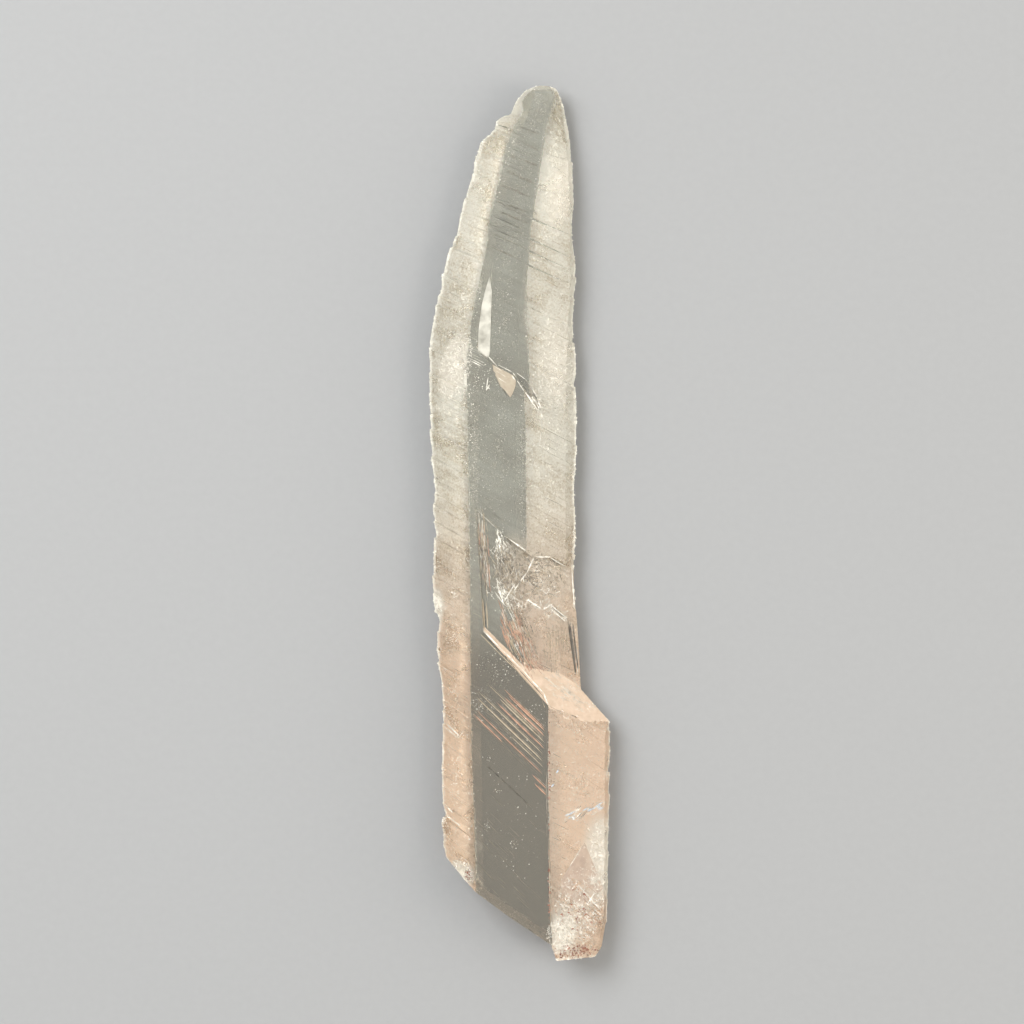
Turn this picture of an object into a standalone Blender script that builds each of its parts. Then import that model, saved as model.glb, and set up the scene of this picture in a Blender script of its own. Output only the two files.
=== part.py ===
"""Nifontovite crystal: one clear, bladed crystal that lies on its flat back face.

+Y runs to the tip, +X to the side with the broad shoulder, +Z out of the front face.
All sizes below are in millimetres; MM turns them into Blender's metres.
"""

import random

import bmesh
import bpy
from mathutils import Vector

MM = 0.001

# Driving dimensions.
CRYSTAL_LENGTH = 94.0
FOOT_THICKNESS = 6.2  # front face to back face, at the foot
FACE_TAPER = 0.014  # thickness lost for each millimetre towards the tip
TIP_TAPER_START = 38.0  # above this height the front face slopes down to the tip
TIP_TAPER = 0.15
TIP_END_START = 46.5  # above this height it rounds off steeply
TIP_END_TAPER = 1.3
UNDERCUT_START = 42.0  # above this height the back slopes up to the tip
UNDERCUT = 0.34
LEFT_RIM_SHARE = 0.47  # height of the left rim, as a share of the thickness
SHOULDER_SHARE = 0.60  # height of the line where the right bevel steepens
RIGHT_RIM_SHARE = 0.42

# Long edges of the crystal, seen from the front, as (height along Y, distance along X).
# Between two points an edge runs straight.
LEFT_RIM = [
    (47.1, 1.7), (46.9, 1.2), (46.6, 0.6), (46.1, 0.1), (45.3, -0.4), (44.1, -1.0), (43.8, -1.8), (43.3, -2.4),
    (42.4, -2.7), (41.0, -4.2), (38.8, -4.9), (37.2, -5.1), (34.4, -6.1), (31.0, -6.8),
    (28.8, -7.7), (26.6, -8.3), (25.2, -8.4), (24.4, -8.8), (21.7, -9.3), (19.4, -9.7),
    (13.8, -9.7), (6.5, -9.4), (3.5, -9.1), (1.6, -9.3), (-1.1, -9.0), (-3.8, -9.3),
    (-7.6, -9.3), (-10.0, -9.1), (-10.4, -8.6), (-11.7, -8.8), (-13.7, -8.9),
    (-17.2, -8.4), (-20.9, -8.2), (-26.2, -8.4), (-29.9, -8.3), (-31.3, -8.0),
    (-32.2, -8.3), (-34.5, -8.2), (-36.5, -7.8), (-42.0, -7.4),
]
FRONT_LEFT = [
    (47.1, 2.1), (46.5, 1.2), (45.6, 0.5), (44.9, 0.1), (44.2, 0.4), (42.2, -0.7), (40.2, -1.5), (36.0, -2.4),
    (33.0, -3.2), (29.0, -3.6), (25.1, -4.5), (21.5, -5.2), (17.5, -5.7), (8.0, -5.5),
    (-7.0, -5.3), (-22.7, -5.2), (-34.4, -4.8), (-46.0, -4.6),
]
FRONT_RIGHT = [
    (47.1, 2.9), (46.5, 3.5), (45.6, 3.7), (44.6, 3.4), (42.3, 2.9), (39.0, 2.3), (36.0, 1.9), (32.0, 1.2),
    (27.0, 0.8), (21.5, 0.4), (18.0, 0.3), (8.7, 0.6), (-9.0, 0.7), (-13.0, 3.0),
    (-27.9, 3.0), (-45.1, 3.4),
]
RIGHT_SHOULDER = [
    (47.1, 3.2), (46.5, 3.8), (45.6, 4.1), (44.0, 4.5), (40.4, 5.0), (34.4, 5.4), (29.0, 5.4), (22.0, 5.2),
    (16.0, 4.9), (-9.0, 4.9), (-13.0, 9.2), (-42.0, 9.0), (-47.0, 8.2),
]
RIGHT_RIM = [
    (47.1, 3.3), (46.9, 3.8), (46.4, 4.2), (45.5, 4.5), (42.1, 5.3), (38.4, 5.6), (34.4, 5.8), (31.1, 5.5),
    (29.4, 5.8), (27.3, 6.0), (22.7, 5.7), (19.1, 5.7), (18.2, 5.9), (16.5, 6.1),
    (15.2, 5.8), (12.3, 6.1), (6.5, 6.0), (3.7, 5.8), (-1.1, 6.0), (-5.0, 5.8),
    (-9.4, 6.0), (-13.0, 9.6), (-20.9, 9.6), (-24.9, 9.7), (-26.8, 9.5), (-30.0, 9.6),
    (-37.4, 9.4), (-39.3, 9.5), (-41.2, 9.3), (-42.8, 9.4), (-47.0, 9.1),
]
BACK_RIGHT = [
    (46.2, 2.9), (40.0, 2.2), (32.0, 1.0), (24.0, 0.0), (16.0, -0.4), (0.0, -0.5),
    (-9.0, -0.2), (-15.0, 3.2), (-47.0, 3.6),
]
BACK_LEFT = [
    (46.2, 1.7), (40.0, -0.4), (32.0, -2.3), (24.0, -3.7), (16.0, -4.4), (0.0, -4.5),
    (-20.0, -4.2), (-45.0, -3.8),
]

# Growth steps: terraces that cross the crystal on a slant and leave a scalloped rim.
STEP_SEED = 11
STEP_SPACING = (1.1, 2.9)
STEP_RISE = (0.05, 0.20)
STEP_LIP = 0.16  # height over which one terrace drops to the next
TIP_STEP_FOOT = 28.5  # below this height the front face is smooth
TIP_STEP_SPACING = (0.7, 1.9)
TIP_STEP_RISE = (0.05, 0.14)
FACE_SHARE_OF_RISE = 0.45  # how much of a step the front and back edges follow
STEP_SLANT = [(47.1, 0.0), (45.5, 0.05), (42.0, 0.25), (34.0, 0.45), (10.0, 0.55), (-20.0, 0.70), (-40.0, 0.72)]

TOP_STATION = 47.1
FOOT_STATION = -41.0  # on the left rim; the last section lies wholly past the broken foot
FOOT_CUT = -46.9

# The broken foot, seen from the front, and how the break leans towards the back face.
FOOT_OUTLINE = [
    (-12.0, -32.4), (-7.8, -36.5), (-5.4, -38.9), (-1.2, -42.0), (3.3, -45.0), (3.9, -46.8), (8.2, -46.95),
    (9.0, -45.9), (9.4, -43.6), (14.0, -38.0), (14.0, -62.0), (-12.0, -62.0),
]
FOOT_LEAN = (0.05, -0.16)  # along X and Y, for each millimetre up

# The ridge: the edge of the shoulder's sloping ledge, which runs across the front face.
RIDGE_POINT = (3.0, -19.5)
RIDGE_SLOPE = 1.12  # fall along Y for each millimetre along +X
LEDGE_PITCH = 0.85  # drop below the front face for each millimetre square to the ridge
LEDGE_REACH = 3.75  # from the ridge to the outer end of the ledge, seen from the front

# The notch: the layer that is missing from the front above the ridge.
NOTCH_OUTLINE = [
    (-4.75, 1.8), (-1.5, -1.5), (1.4, -3.7), (3.6, -3.8), (5.8, -4.9), (9.0, -6.4),
    (14.0, -8.0), (14.0, -40.0), (-3.75, -40.0), (-3.85, -11.8), (-4.1, -8.0),
]
NOTCH_FLOOR = [(-6.0, -0.42), (-3.9, -0.45), (0.4, -0.75), (2.0, -1.55), (4.4, -2.75), (14.0, -5.2)]

# The plateau: the layer missing from the front face in the upper half, with a run-out at its
# upper end, a sloping wall along its left side and a steep broken wall at its lower end.
PLATEAU_OUTLINE = [(-5.2, 19.4), (-3.2, 17.1), (-0.4, 15.7), (2.3, 11.6), (7.5, 9.5), (7.5, 29.0), (-5.2, 29.0)]
PLATEAU_DEPTH = 0.28
PLATEAU_RUN_OUT = (27.2, 24.0)  # heights, at the left wall, between which the floor drops
PLATEAU_SLANT = 0.5  # fall of the run-out along Y for each millimetre along +X
PLATEAU_WALL = (-4.35, -3.1)  # across the left wall, from the front face to the floor

# Chips broken out of the rims: (x, y, z, radius).
CHIPS = [
    (-1.5, 44.4, 2.2, 0.7), (-9.35, -10.2, 2.6, 0.85), (-8.6, -31.4, 2.4, 0.7), (6.35, 31.3, 2.6, 0.8),
    (9.9, -38.4, 2.9, 0.6), (9.8, -26.9, 2.8, 0.55), (-9.5, 3.2, 3.1, 0.55), (4.4, -46.9, 3.9, 1.0),
    (6.9, -47.3, 2.4, 1.1), (-4.7, -38.9, 4.8, 0.7),
]

CRYSTAL_COLOUR = (0.87, 0.86, 0.80, 1.0)
CRYSTAL_IOR = 1.58


def start_scene():
    """Remove everything, then make one collection for the crystal and one for its cutters."""
    for obj in list(bpy.data.objects):
        bpy.data.objects.remove(obj)
    collections = []
    for name in ("nifontovite_specimen", "cutters"):
        collection = bpy.data.collections.new(name)
        bpy.context.scene.collection.children.link(collection)
        collections.append(collection)
    return collections


def crystal_material():
    """Clear, faintly warm crystal with a satin growth surface."""
    material = bpy.data.materials.new("clear_nifontovite")
    material.use_nodes = True
    shader = material.node_tree.nodes["Principled BSDF"]
    shader.inputs["Base Color"].default_value = CRYSTAL_COLOUR
    shader.inputs["Roughness"].default_value = 0.2
    shader.inputs["Metallic"].default_value = 0.0
    shader.inputs["Transmission Weight"].default_value = 1.0
    shader.inputs["IOR"].default_value = CRYSTAL_IOR
    return material


def along(edge, height):
    """X of an edge, or any second value of a table, at this height."""
    for (high, high_value), (low, low_value) in zip(edge, edge[1:]):
        if height >= low:
            share = min(1.0, (high - height) / (high - low))
            return high_value + (low_value - high_value) * max(0.0, share)
    return edge[-1][1]


def front_height(height):
    """Z of the front face: one long plane, then planes that fall ever more steeply to the tip."""
    thickness = FOOT_THICKNESS - FACE_TAPER * (height - FOOT_CUT)
    thickness -= TIP_TAPER * max(0.0, height - TIP_TAPER_START)
    return thickness - TIP_END_TAPER * max(0.0, height - TIP_END_START)


def back_height(height):
    """Z of the back face: flat where the crystal rests, rising under the tip."""
    return UNDERCUT * max(0.0, height - UNDERCUT_START)


def growth_steps(chance, foot, spacing, rise):
    """Heights of a run of growth steps with the rise of each, from the tip down to foot."""
    steps = []
    height = TOP_STATION - 1.2
    while height > foot + 0.5:
        steps.append((height, chance.uniform(*rise)))
        height -= chance.uniform(*spacing)
    return steps


def terrace(steps, height):
    """How far the rim stands out at this height: most just below a step, then fading to the next."""
    lips = [*steps, (steps[-1][0] - 2.0, 0.0)]
    for (upper, rise), (lower, _) in zip(lips, lips[1:]):
        if lower < height <= upper:
            below_lip = (upper - height) / STEP_LIP
            fade = (height - lower) / (upper - lower)
            return rise * min(1.0, below_lip) * fade
    return 0.0


def point_on(edge, station, slant, outward):
    """(x, y) where a station's slanting line crosses an edge, moved outwards by the growth steps."""
    start = along(LEFT_RIM, station)
    height = station
    for _ in range(4):
        height = station - slant * (along(edge, height) - start)
    return along(edge, height) + outward, height


def section(station, left_steps, right_steps, face_steps):
    """The crystal's outline at one station, anticlockwise from the left rim through the back."""
    slant = along(STEP_SLANT, station)
    left = terrace(left_steps, station)
    right = terrace(right_steps, station)
    sunk = terrace(face_steps, station) / FOOT_THICKNESS
    inner_left = FACE_SHARE_OF_RISE * left
    inner_right = FACE_SHARE_OF_RISE * right
    shares = [
        (LEFT_RIM, -left, LEFT_RIM_SHARE + 0.35 * left),
        (BACK_LEFT, -inner_left, 0.0),
        (BACK_RIGHT, inner_right, 0.0),
        (RIGHT_RIM, right, RIGHT_RIM_SHARE - 0.2 * right),
        (RIGHT_SHOULDER, right, SHOULDER_SHARE),
        (FRONT_RIGHT, inner_right, 1.0 - sunk),
        (FRONT_LEFT, -inner_left, 1.0 - sunk),
    ]
    corners = []
    for edge, outward, share in shares:
        x, y = point_on(edge, station, slant, outward)
        back = back_height(y)
        corners.append(Vector((x, y, back + share * (front_height(y) - back))) * MM)
    return corners


def stations_of(*step_lists):
    """Heights of the sections: one on each side of every growth step, and the two ends."""
    heights = {TOP_STATION, FOOT_STATION}
    for steps in step_lists:
        for height, _ in steps:
            heights.update((height, height - STEP_LIP))
    heights.update(height for height, _ in LEFT_RIM)
    kept = []
    for height in sorted(heights, reverse=True):
        if not kept or kept[-1] - height > STEP_LIP / 2:
            kept.append(height)
    kept[-1] = FOOT_STATION
    return kept


def blade(collection):
    """The whole crystal before anything is broken off it: a loft through the slanting sections."""
    chance = random.Random(STEP_SEED)
    left_steps = growth_steps(chance, FOOT_STATION, STEP_SPACING, STEP_RISE)
    right_steps = growth_steps(chance, FOOT_STATION, STEP_SPACING, STEP_RISE)
    face_steps = growth_steps(chance, TIP_STEP_FOOT, TIP_STEP_SPACING, TIP_STEP_RISE)
    mesh = bmesh.new()
    rings = []
    for station in stations_of(left_steps, right_steps, face_steps):
        corners = section(station, left_steps, right_steps, face_steps)
        rings.append([mesh.verts.new(corner) for corner in corners])
    for upper, lower in zip(rings, rings[1:]):
        for index in range(len(upper)):
            after = (index + 1) % len(upper)
            mesh.faces.new((upper[index], upper[after], lower[after], lower[index]))
    mesh.faces.new(rings[0])
    mesh.faces.new(rings[-1])
    bmesh.ops.recalc_face_normals(mesh, faces=mesh.faces)
    return add_object("crystal", mesh, collection)


def add_object(name, mesh, collection):
    """An object from a finished bmesh."""
    data = bpy.data.meshes.new(name)
    mesh.to_mesh(data)
    mesh.free()
    obj = bpy.data.objects.new(name, data)
    collection.objects.link(obj)
    return obj


def prism(outline, thrust):
    """A bmesh prism: a flat outline of 3-D points, in millimetres, pushed along thrust."""
    mesh = bmesh.new()
    face = mesh.faces.new([mesh.verts.new(Vector(point) * MM) for point in outline])
    pushed = bmesh.ops.extrude_face_region(mesh, geom=[face])["geom"]
    moved = [item for item in pushed if isinstance(item, bmesh.types.BMVert)]
    bmesh.ops.translate(mesh, verts=moved, vec=Vector(thrust) * MM)
    bmesh.ops.recalc_face_normals(mesh, faces=mesh.faces)
    return mesh


def keep_side(mesh, point, normal):
    """Cut a closed bmesh with a plane, drop what lies on the normal's side and close the cut."""
    geometry = [*mesh.verts, *mesh.edges, *mesh.faces]
    bmesh.ops.bisect_plane(
        mesh, geom=geometry, dist=1e-7, plane_co=Vector(point) * MM, plane_no=normal, clear_outer=True
    )
    rim = [edge for edge in mesh.edges if edge.is_boundary]
    bmesh.ops.edgenet_fill(mesh, edges=rim)
    bmesh.ops.recalc_face_normals(mesh, faces=mesh.faces)


def as_cutter(name, mesh, collection):
    """A cutter object, hidden from renders and drawn as wire."""
    cutter = add_object(name, mesh, collection)
    cutter.hide_render = True
    cutter.display_type = "WIRE"
    return cutter


def boolean(target, cutter, operation="DIFFERENCE"):
    """Apply one exact Boolean to the target's mesh."""
    modifier = target.modifiers.new(cutter.name, "BOOLEAN")
    modifier.operation = operation
    modifier.object = cutter
    bpy.context.view_layer.update()
    graph = bpy.context.evaluated_depsgraph_get()
    result = bpy.data.meshes.new_from_object(target.evaluated_get(graph))
    target.modifiers.clear()
    target.data = result


def ridge_square():
    """Unit vector square to the ridge in the plane of the front face, towards the tip."""
    return Vector((RIDGE_SLOPE, 1.0, 0.0)).normalized()


def ledge_normal():
    """Outward normal of the shoulder's sloping ledge."""
    square = ridge_square()
    return Vector((square.x * LEDGE_PITCH, square.y * LEDGE_PITCH, 1.0)).normalized()


def cut_notch(crystal, cutters):
    """Take out the missing layer above the ridge, and the ledge that closes it below."""
    ridge_x, ridge_y = RIDGE_POINT
    face = front_height(ridge_y)
    top = face + 6.0
    floor = [(x, 12.0, face + drop) for x, drop in NOTCH_FLOOR]
    profile = prism([*floor, (14.0, 12.0, top), (-6.0, 12.0, top)], (0.0, -50.0, 0.0))
    keep_side(profile, (ridge_x, ridge_y, face), -ledge_normal())
    notch = as_cutter("notch_cutter", profile, cutters)
    outline = prism([(x, y, -1.0) for x, y in NOTCH_OUTLINE], (0.0, 0.0, 20.0))
    boolean(notch, as_cutter("notch_outline", outline, cutters), "INTERSECT")
    boolean(crystal, notch)


def cut_shoulder_side(crystal, cutters):
    """Trim the right side above the shoulder, down to the ledge's outer end."""
    square = ridge_square()
    inner = Vector((*RIDGE_POINT, 0.0)) + square * LEDGE_REACH
    side_x = 6.6
    side_y = inner.y - RIDGE_SLOPE * (side_x - inner.x)
    far_x = 14.0
    far_y = inner.y - RIDGE_SLOPE * (far_x - inner.x)
    outline = [
        (5.8, -4.0), (5.85, -6.5), (6.1, -9.6), (6.3, -12.5), (side_x, side_y),
        (far_x, far_y), (far_x, -4.0),
    ]
    side = prism([(x, y, -1.0) for x, y in outline], (0.0, 0.0, 12.0))
    boolean(crystal, as_cutter("shoulder_side_cutter", side, cutters))


def cut_plateau(crystal, cutters):
    """Take the thin layer off the upper front face."""
    layer = prism([(x, y, -1.0) for x, y in PLATEAU_OUTLINE], (0.0, 0.0, 20.0))
    start, full = PLATEAU_RUN_OUT
    outer, inner = PLATEAU_WALL
    slope = Vector((0.0, -FACE_TAPER, -1.0))
    floor_point = (0.0, full, front_height(full) - PLATEAU_DEPTH)
    keep_side(layer, floor_point, slope)
    drop = PLATEAU_DEPTH / (start - full)
    keep_side(layer, (inner, full, floor_point[2]), (drop * PLATEAU_SLANT, drop, -1.0))
    keep_side(layer, (outer, full, front_height(full)), (-PLATEAU_DEPTH / (inner - outer), 0.0, -1.0))
    boolean(crystal, as_cutter("plateau_cutter", layer, cutters))


def cut_foot(crystal, cutters):
    """Break the foot off along its leaning surfaces."""
    lean_x, lean_y = FOOT_LEAN
    reach = 12.0
    base = [(x - lean_x * FOOT_THICKNESS, y - lean_y * FOOT_THICKNESS, 0.0) for x, y in FOOT_OUTLINE]
    start = [(x - lean_x, y - lean_y, z - 1.0) for x, y, z in base]
    break_off = prism(start, (lean_x * reach, lean_y * reach, reach))
    boolean(crystal, as_cutter("foot_cutter", break_off, cutters))


def cut_chips(crystal, cutters):
    """Flake small faceted chips off the rims."""
    chance = random.Random(STEP_SEED + 1)
    for number, (x, y, z, radius) in enumerate(CHIPS, 1):
        mesh = bmesh.new()
        bmesh.ops.create_icosphere(mesh, subdivisions=1, radius=radius * MM)
        for vertex in mesh.verts:
            vertex.co *= chance.uniform(0.75, 1.15)
        bmesh.ops.translate(mesh, verts=mesh.verts, vec=Vector((x, y, z)) * MM)
        boolean(crystal, as_cutter(f"chip_cutter_{number}", mesh, cutters))


def settle(crystal):
    """Weld the mesh, then put the middle of its bounds over the origin and its back on z = 0."""
    mesh = bmesh.new()
    mesh.from_mesh(crystal.data)
    bmesh.ops.remove_doubles(mesh, verts=mesh.verts, dist=0.002 * MM)
    low = Vector(min(v.co[axis] for v in mesh.verts) for axis in range(3))
    high = Vector(max(v.co[axis] for v in mesh.verts) for axis in range(3))
    middle = (low + high) / 2
    bmesh.ops.translate(mesh, verts=mesh.verts, vec=(-middle.x, -middle.y, -low.z))
    mesh.to_mesh(crystal.data)
    mesh.free()


def main():
    crystals, cutters = start_scene()
    crystal = blade(crystals)
    crystal.data.materials.append(crystal_material())
    cut_foot(crystal, cutters)
    cut_shoulder_side(crystal, cutters)
    cut_plateau(crystal, cutters)
    cut_notch(crystal, cutters)
    cut_chips(crystal, cutters)
    settle(crystal)


main()
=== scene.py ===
"""Looks of a clear, bladed nifontovite crystal that lies on its flat back face.

The frame's solid gives the crystal its form. The classes below divide that form finely, weather its
faces, and add the cracks, veils and specks that lie in and on it.
Lengths are millimetres unless a name says otherwise, in the frame's axes: +Y to the tip, +X to the
side with the broad shoulder, +Z out of the front face.

The tables are rows of numbers, all as seen from the front:
- patch, an oval area: x, y, half length along X, half length along Y, turn in degrees, strength
- flakes, small flat grains: x, y, half lengths and turn of their patch, and how many
- sheet, a thin parting that looks like a line and tapers to both ends: x and y of its start, x and y
  of its end, width, depth of its upper edge under the surface, and sometimes the bulge of its middle
- strokes, short sheets: x, y, half lengths and turn of their patch, how many, least and greatest
  length, least and greatest width, direction in degrees from +X towards +Y, how far each may turn
  from it, and sometimes least and greatest depth
"""

import logging
import math
import random
from dataclasses import dataclass
from enum import Enum
from typing import Any, Iterable, Sequence

import bmesh
import bpy
import numpy as np
from mathutils import Matrix, Vector, noise
from mathutils.bvhtree import BVHTree


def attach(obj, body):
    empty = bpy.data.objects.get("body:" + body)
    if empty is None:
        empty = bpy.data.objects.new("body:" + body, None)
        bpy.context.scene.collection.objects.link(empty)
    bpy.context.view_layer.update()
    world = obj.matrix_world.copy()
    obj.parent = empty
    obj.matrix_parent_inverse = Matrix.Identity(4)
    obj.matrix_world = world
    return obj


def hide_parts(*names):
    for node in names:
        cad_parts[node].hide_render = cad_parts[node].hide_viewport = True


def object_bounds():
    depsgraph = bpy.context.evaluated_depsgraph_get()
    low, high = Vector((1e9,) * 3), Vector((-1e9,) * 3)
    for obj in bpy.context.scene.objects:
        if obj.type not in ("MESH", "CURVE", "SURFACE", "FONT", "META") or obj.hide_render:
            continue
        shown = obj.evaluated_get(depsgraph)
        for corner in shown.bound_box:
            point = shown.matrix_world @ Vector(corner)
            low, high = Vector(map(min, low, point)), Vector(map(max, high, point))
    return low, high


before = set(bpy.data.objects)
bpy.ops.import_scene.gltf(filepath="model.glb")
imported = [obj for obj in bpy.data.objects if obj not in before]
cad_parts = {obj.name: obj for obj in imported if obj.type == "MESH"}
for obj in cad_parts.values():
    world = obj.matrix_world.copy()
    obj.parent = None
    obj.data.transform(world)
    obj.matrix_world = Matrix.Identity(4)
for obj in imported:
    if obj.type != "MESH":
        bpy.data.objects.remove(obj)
CAD_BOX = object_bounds()

MM = 0.001
BODY = "root"
NODE = "crystal"
UP = Vector((0.0, 0.0, 1.0))
LOG = logging.getLogger("nifontovite")

INWARD = 0.7  # power for places in an oval: above a half they crowd towards its middle
SHORTNESS = 1.5  # power for lengths of strokes: above one, most are short
STROKE_DEPTHS = (-0.04, 0.02)  # of a stroke whose row doesn't say
OVERLAP = 0.12  # each sheet of a chain reaches past both ends by this share of its length

Pair = tuple[float, float]
Row = tuple[float, ...]
Rows = tuple[Row, ...]
Socket = bpy.types.NodeSocket
Sockets = dict[str, bpy.types.NodeSocket]
BMesh = bmesh.types.BMesh
Piece = bpy.types.Object


class Zone(Enum):
    """What kind of surface a face of the crystal is."""

    FRONT = "front"
    BACK = "back"
    LEDGE = "ledge"
    ETCHED = "etched"


# ---------------------------------------------------------------- shared helpers


def linear(code: str) -> tuple[float, float, float, float]:
    """Turn an sRGB hex colour into linear RGBA.

    Args:
        code: a # and six hex digits.

    Returns:
        Linear red, green and blue, and full alpha.
    """
    values = [int(code[start:start + 2], 16) / 255 for start in (1, 3, 5)]
    red, green, blue = (v / 12.92 if v <= 0.04045 else ((v + 0.055) / 1.055) ** 2.4 for v in values)
    return (red, green, blue, 1.0)


def add_node(
    tree: bpy.types.NodeTree, kind: str, links: dict[Any, bpy.types.NodeSocket] | None = None,
    values: dict[Any, Any] | None = None, **settings: Any,
) -> bpy.types.Node:
    """Add one node with its settings, input values and links.

    Args:
        tree: the node tree it goes into.
        kind: the node's bl_idname.
        links: input name or index to the output socket that feeds it.
        values: input name or index to its plain value.
        settings: attributes of the node itself.

    Returns:
        The new node.
    """
    node = tree.nodes.new(kind)
    for name, value in settings.items():
        setattr(node, name, value)
    for name, value in (values or {}).items():
        node.inputs[name].default_value = value
    for name, socket in (links or {}).items():
        tree.links.new(socket, node.inputs[name])
    return node


def blank_material(
    name: str, **values: float
) -> tuple[bpy.types.Material, bpy.types.NodeTree, bpy.types.Node, bpy.types.Node]:
    """Make a material with only its output and a Principled shader.

    Args:
        name: the material's name.
        values: plain values of the shader's sockets, with _ for each space.

    Returns:
        The material, its tree, the Principled node and the output node.
    """
    material = bpy.data.materials.new(name)
    material.use_nodes = True
    tree = material.node_tree
    tree.nodes.clear()
    output = add_node(tree, "ShaderNodeOutputMaterial")
    plain = {socket.replace("_", " "): value for socket, value in values.items()}
    shader = add_node(tree, "ShaderNodeBsdfPrincipled", values=plain)
    tree.links.new(shader.outputs["BSDF"], output.inputs["Surface"])
    return material, tree, shader, output


def link(name: str, data: bpy.types.Mesh, material: bpy.types.Material) -> Piece:
    """Make an object at the origin from a mesh.

    Args:
        name: the piece's name.
        data: its mesh, in metres.
        material: its finish.

    Returns:
        The linked object.
    """
    data.materials.append(material)
    piece = bpy.data.objects.new(name, data)
    bpy.context.scene.collection.objects.link(piece)
    return piece


def finish_mesh(name: str, mesh: BMesh, material: bpy.types.Material) -> Piece:
    """Turn a bmesh in millimetres into an object in metres at the origin.

    Args:
        name: the piece's name.
        mesh: its shape, which is freed.
        material: its finish.

    Returns:
        The linked object.
    """
    bmesh.ops.scale(mesh, verts=mesh.verts, vec=(MM,) * 3)
    data = bpy.data.meshes.new(name)
    mesh.to_mesh(data)
    mesh.free()
    return link(name, data, material)


def seat(piece: Piece, count: int) -> None:
    """Let a finished piece ride on the crystal, and report it.

    Args:
        piece: the piece.
        count: how many parts are joined in it.
    """
    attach(piece, BODY)
    LOG.info("%s: %d parts", piece.name, count)


def keep_in_box(mesh: BMesh) -> None:
    """Clamp every corner to the solid's own box.

    Args:
        mesh: a shape in millimetres.
    """
    low, high = (Vector(corner) / MM for corner in CAD_BOX)
    for vertex in mesh.verts:
        for axis in range(3):
            vertex.co[axis] = min(max(vertex.co[axis], low[axis]), high[axis])


def grain_shape() -> BMesh:
    """Make one low, cut-off grain.

    Returns:
        Its shape, about one unit in radius.
    """
    mesh = bmesh.new()
    bmesh.ops.create_cone(mesh, cap_ends=True, segments=3, radius1=1.0, radius2=0.4, depth=1.0)
    return mesh


def speck_shape() -> BMesh:
    """Make one round speck.

    Returns:
        Its shape, one unit in radius.
    """
    mesh = bmesh.new()
    bmesh.ops.create_icosphere(mesh, subdivisions=1, radius=1.0)
    return mesh


def repeated(name: str, shape: BMesh, places: Sequence[Matrix], material: bpy.types.Material) -> Piece:
    """Join many copies of one small closed shape into a piece.

    Args:
        name: the piece's name.
        shape: the shape to copy, in its own units; it is freed.
        places: where each copy goes, as matrices into millimetres.
        material: the piece's finish.

    Returns:
        The linked object, kept inside the solid's box.
    """
    bmesh.ops.triangulate(shape, faces=shape.faces)
    bmesh.ops.recalc_face_normals(shape, faces=shape.faces)
    shape.verts.index_update()
    corners = np.array([(*vertex.co, 1.0) for vertex in shape.verts])
    faces = np.array([[vertex.index for vertex in face.verts] for face in shape.faces])
    shape.free()
    moved = np.einsum("nij,vj->nvi", np.array([list(map(list, place)) for place in places]), corners)
    points = np.clip(moved[..., :3].reshape(-1, 3) * MM, np.array(CAD_BOX[0]), np.array(CAD_BOX[1]))
    turns = (faces[None] + (np.arange(len(places)) * len(corners))[:, None, None]).reshape(-1, 3)
    data = bpy.data.meshes.new(name)
    data.from_pydata(points.tolist(), [], turns.tolist())
    return link(name, data, material)


# ---------------------------------------------------------------- finishes


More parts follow.
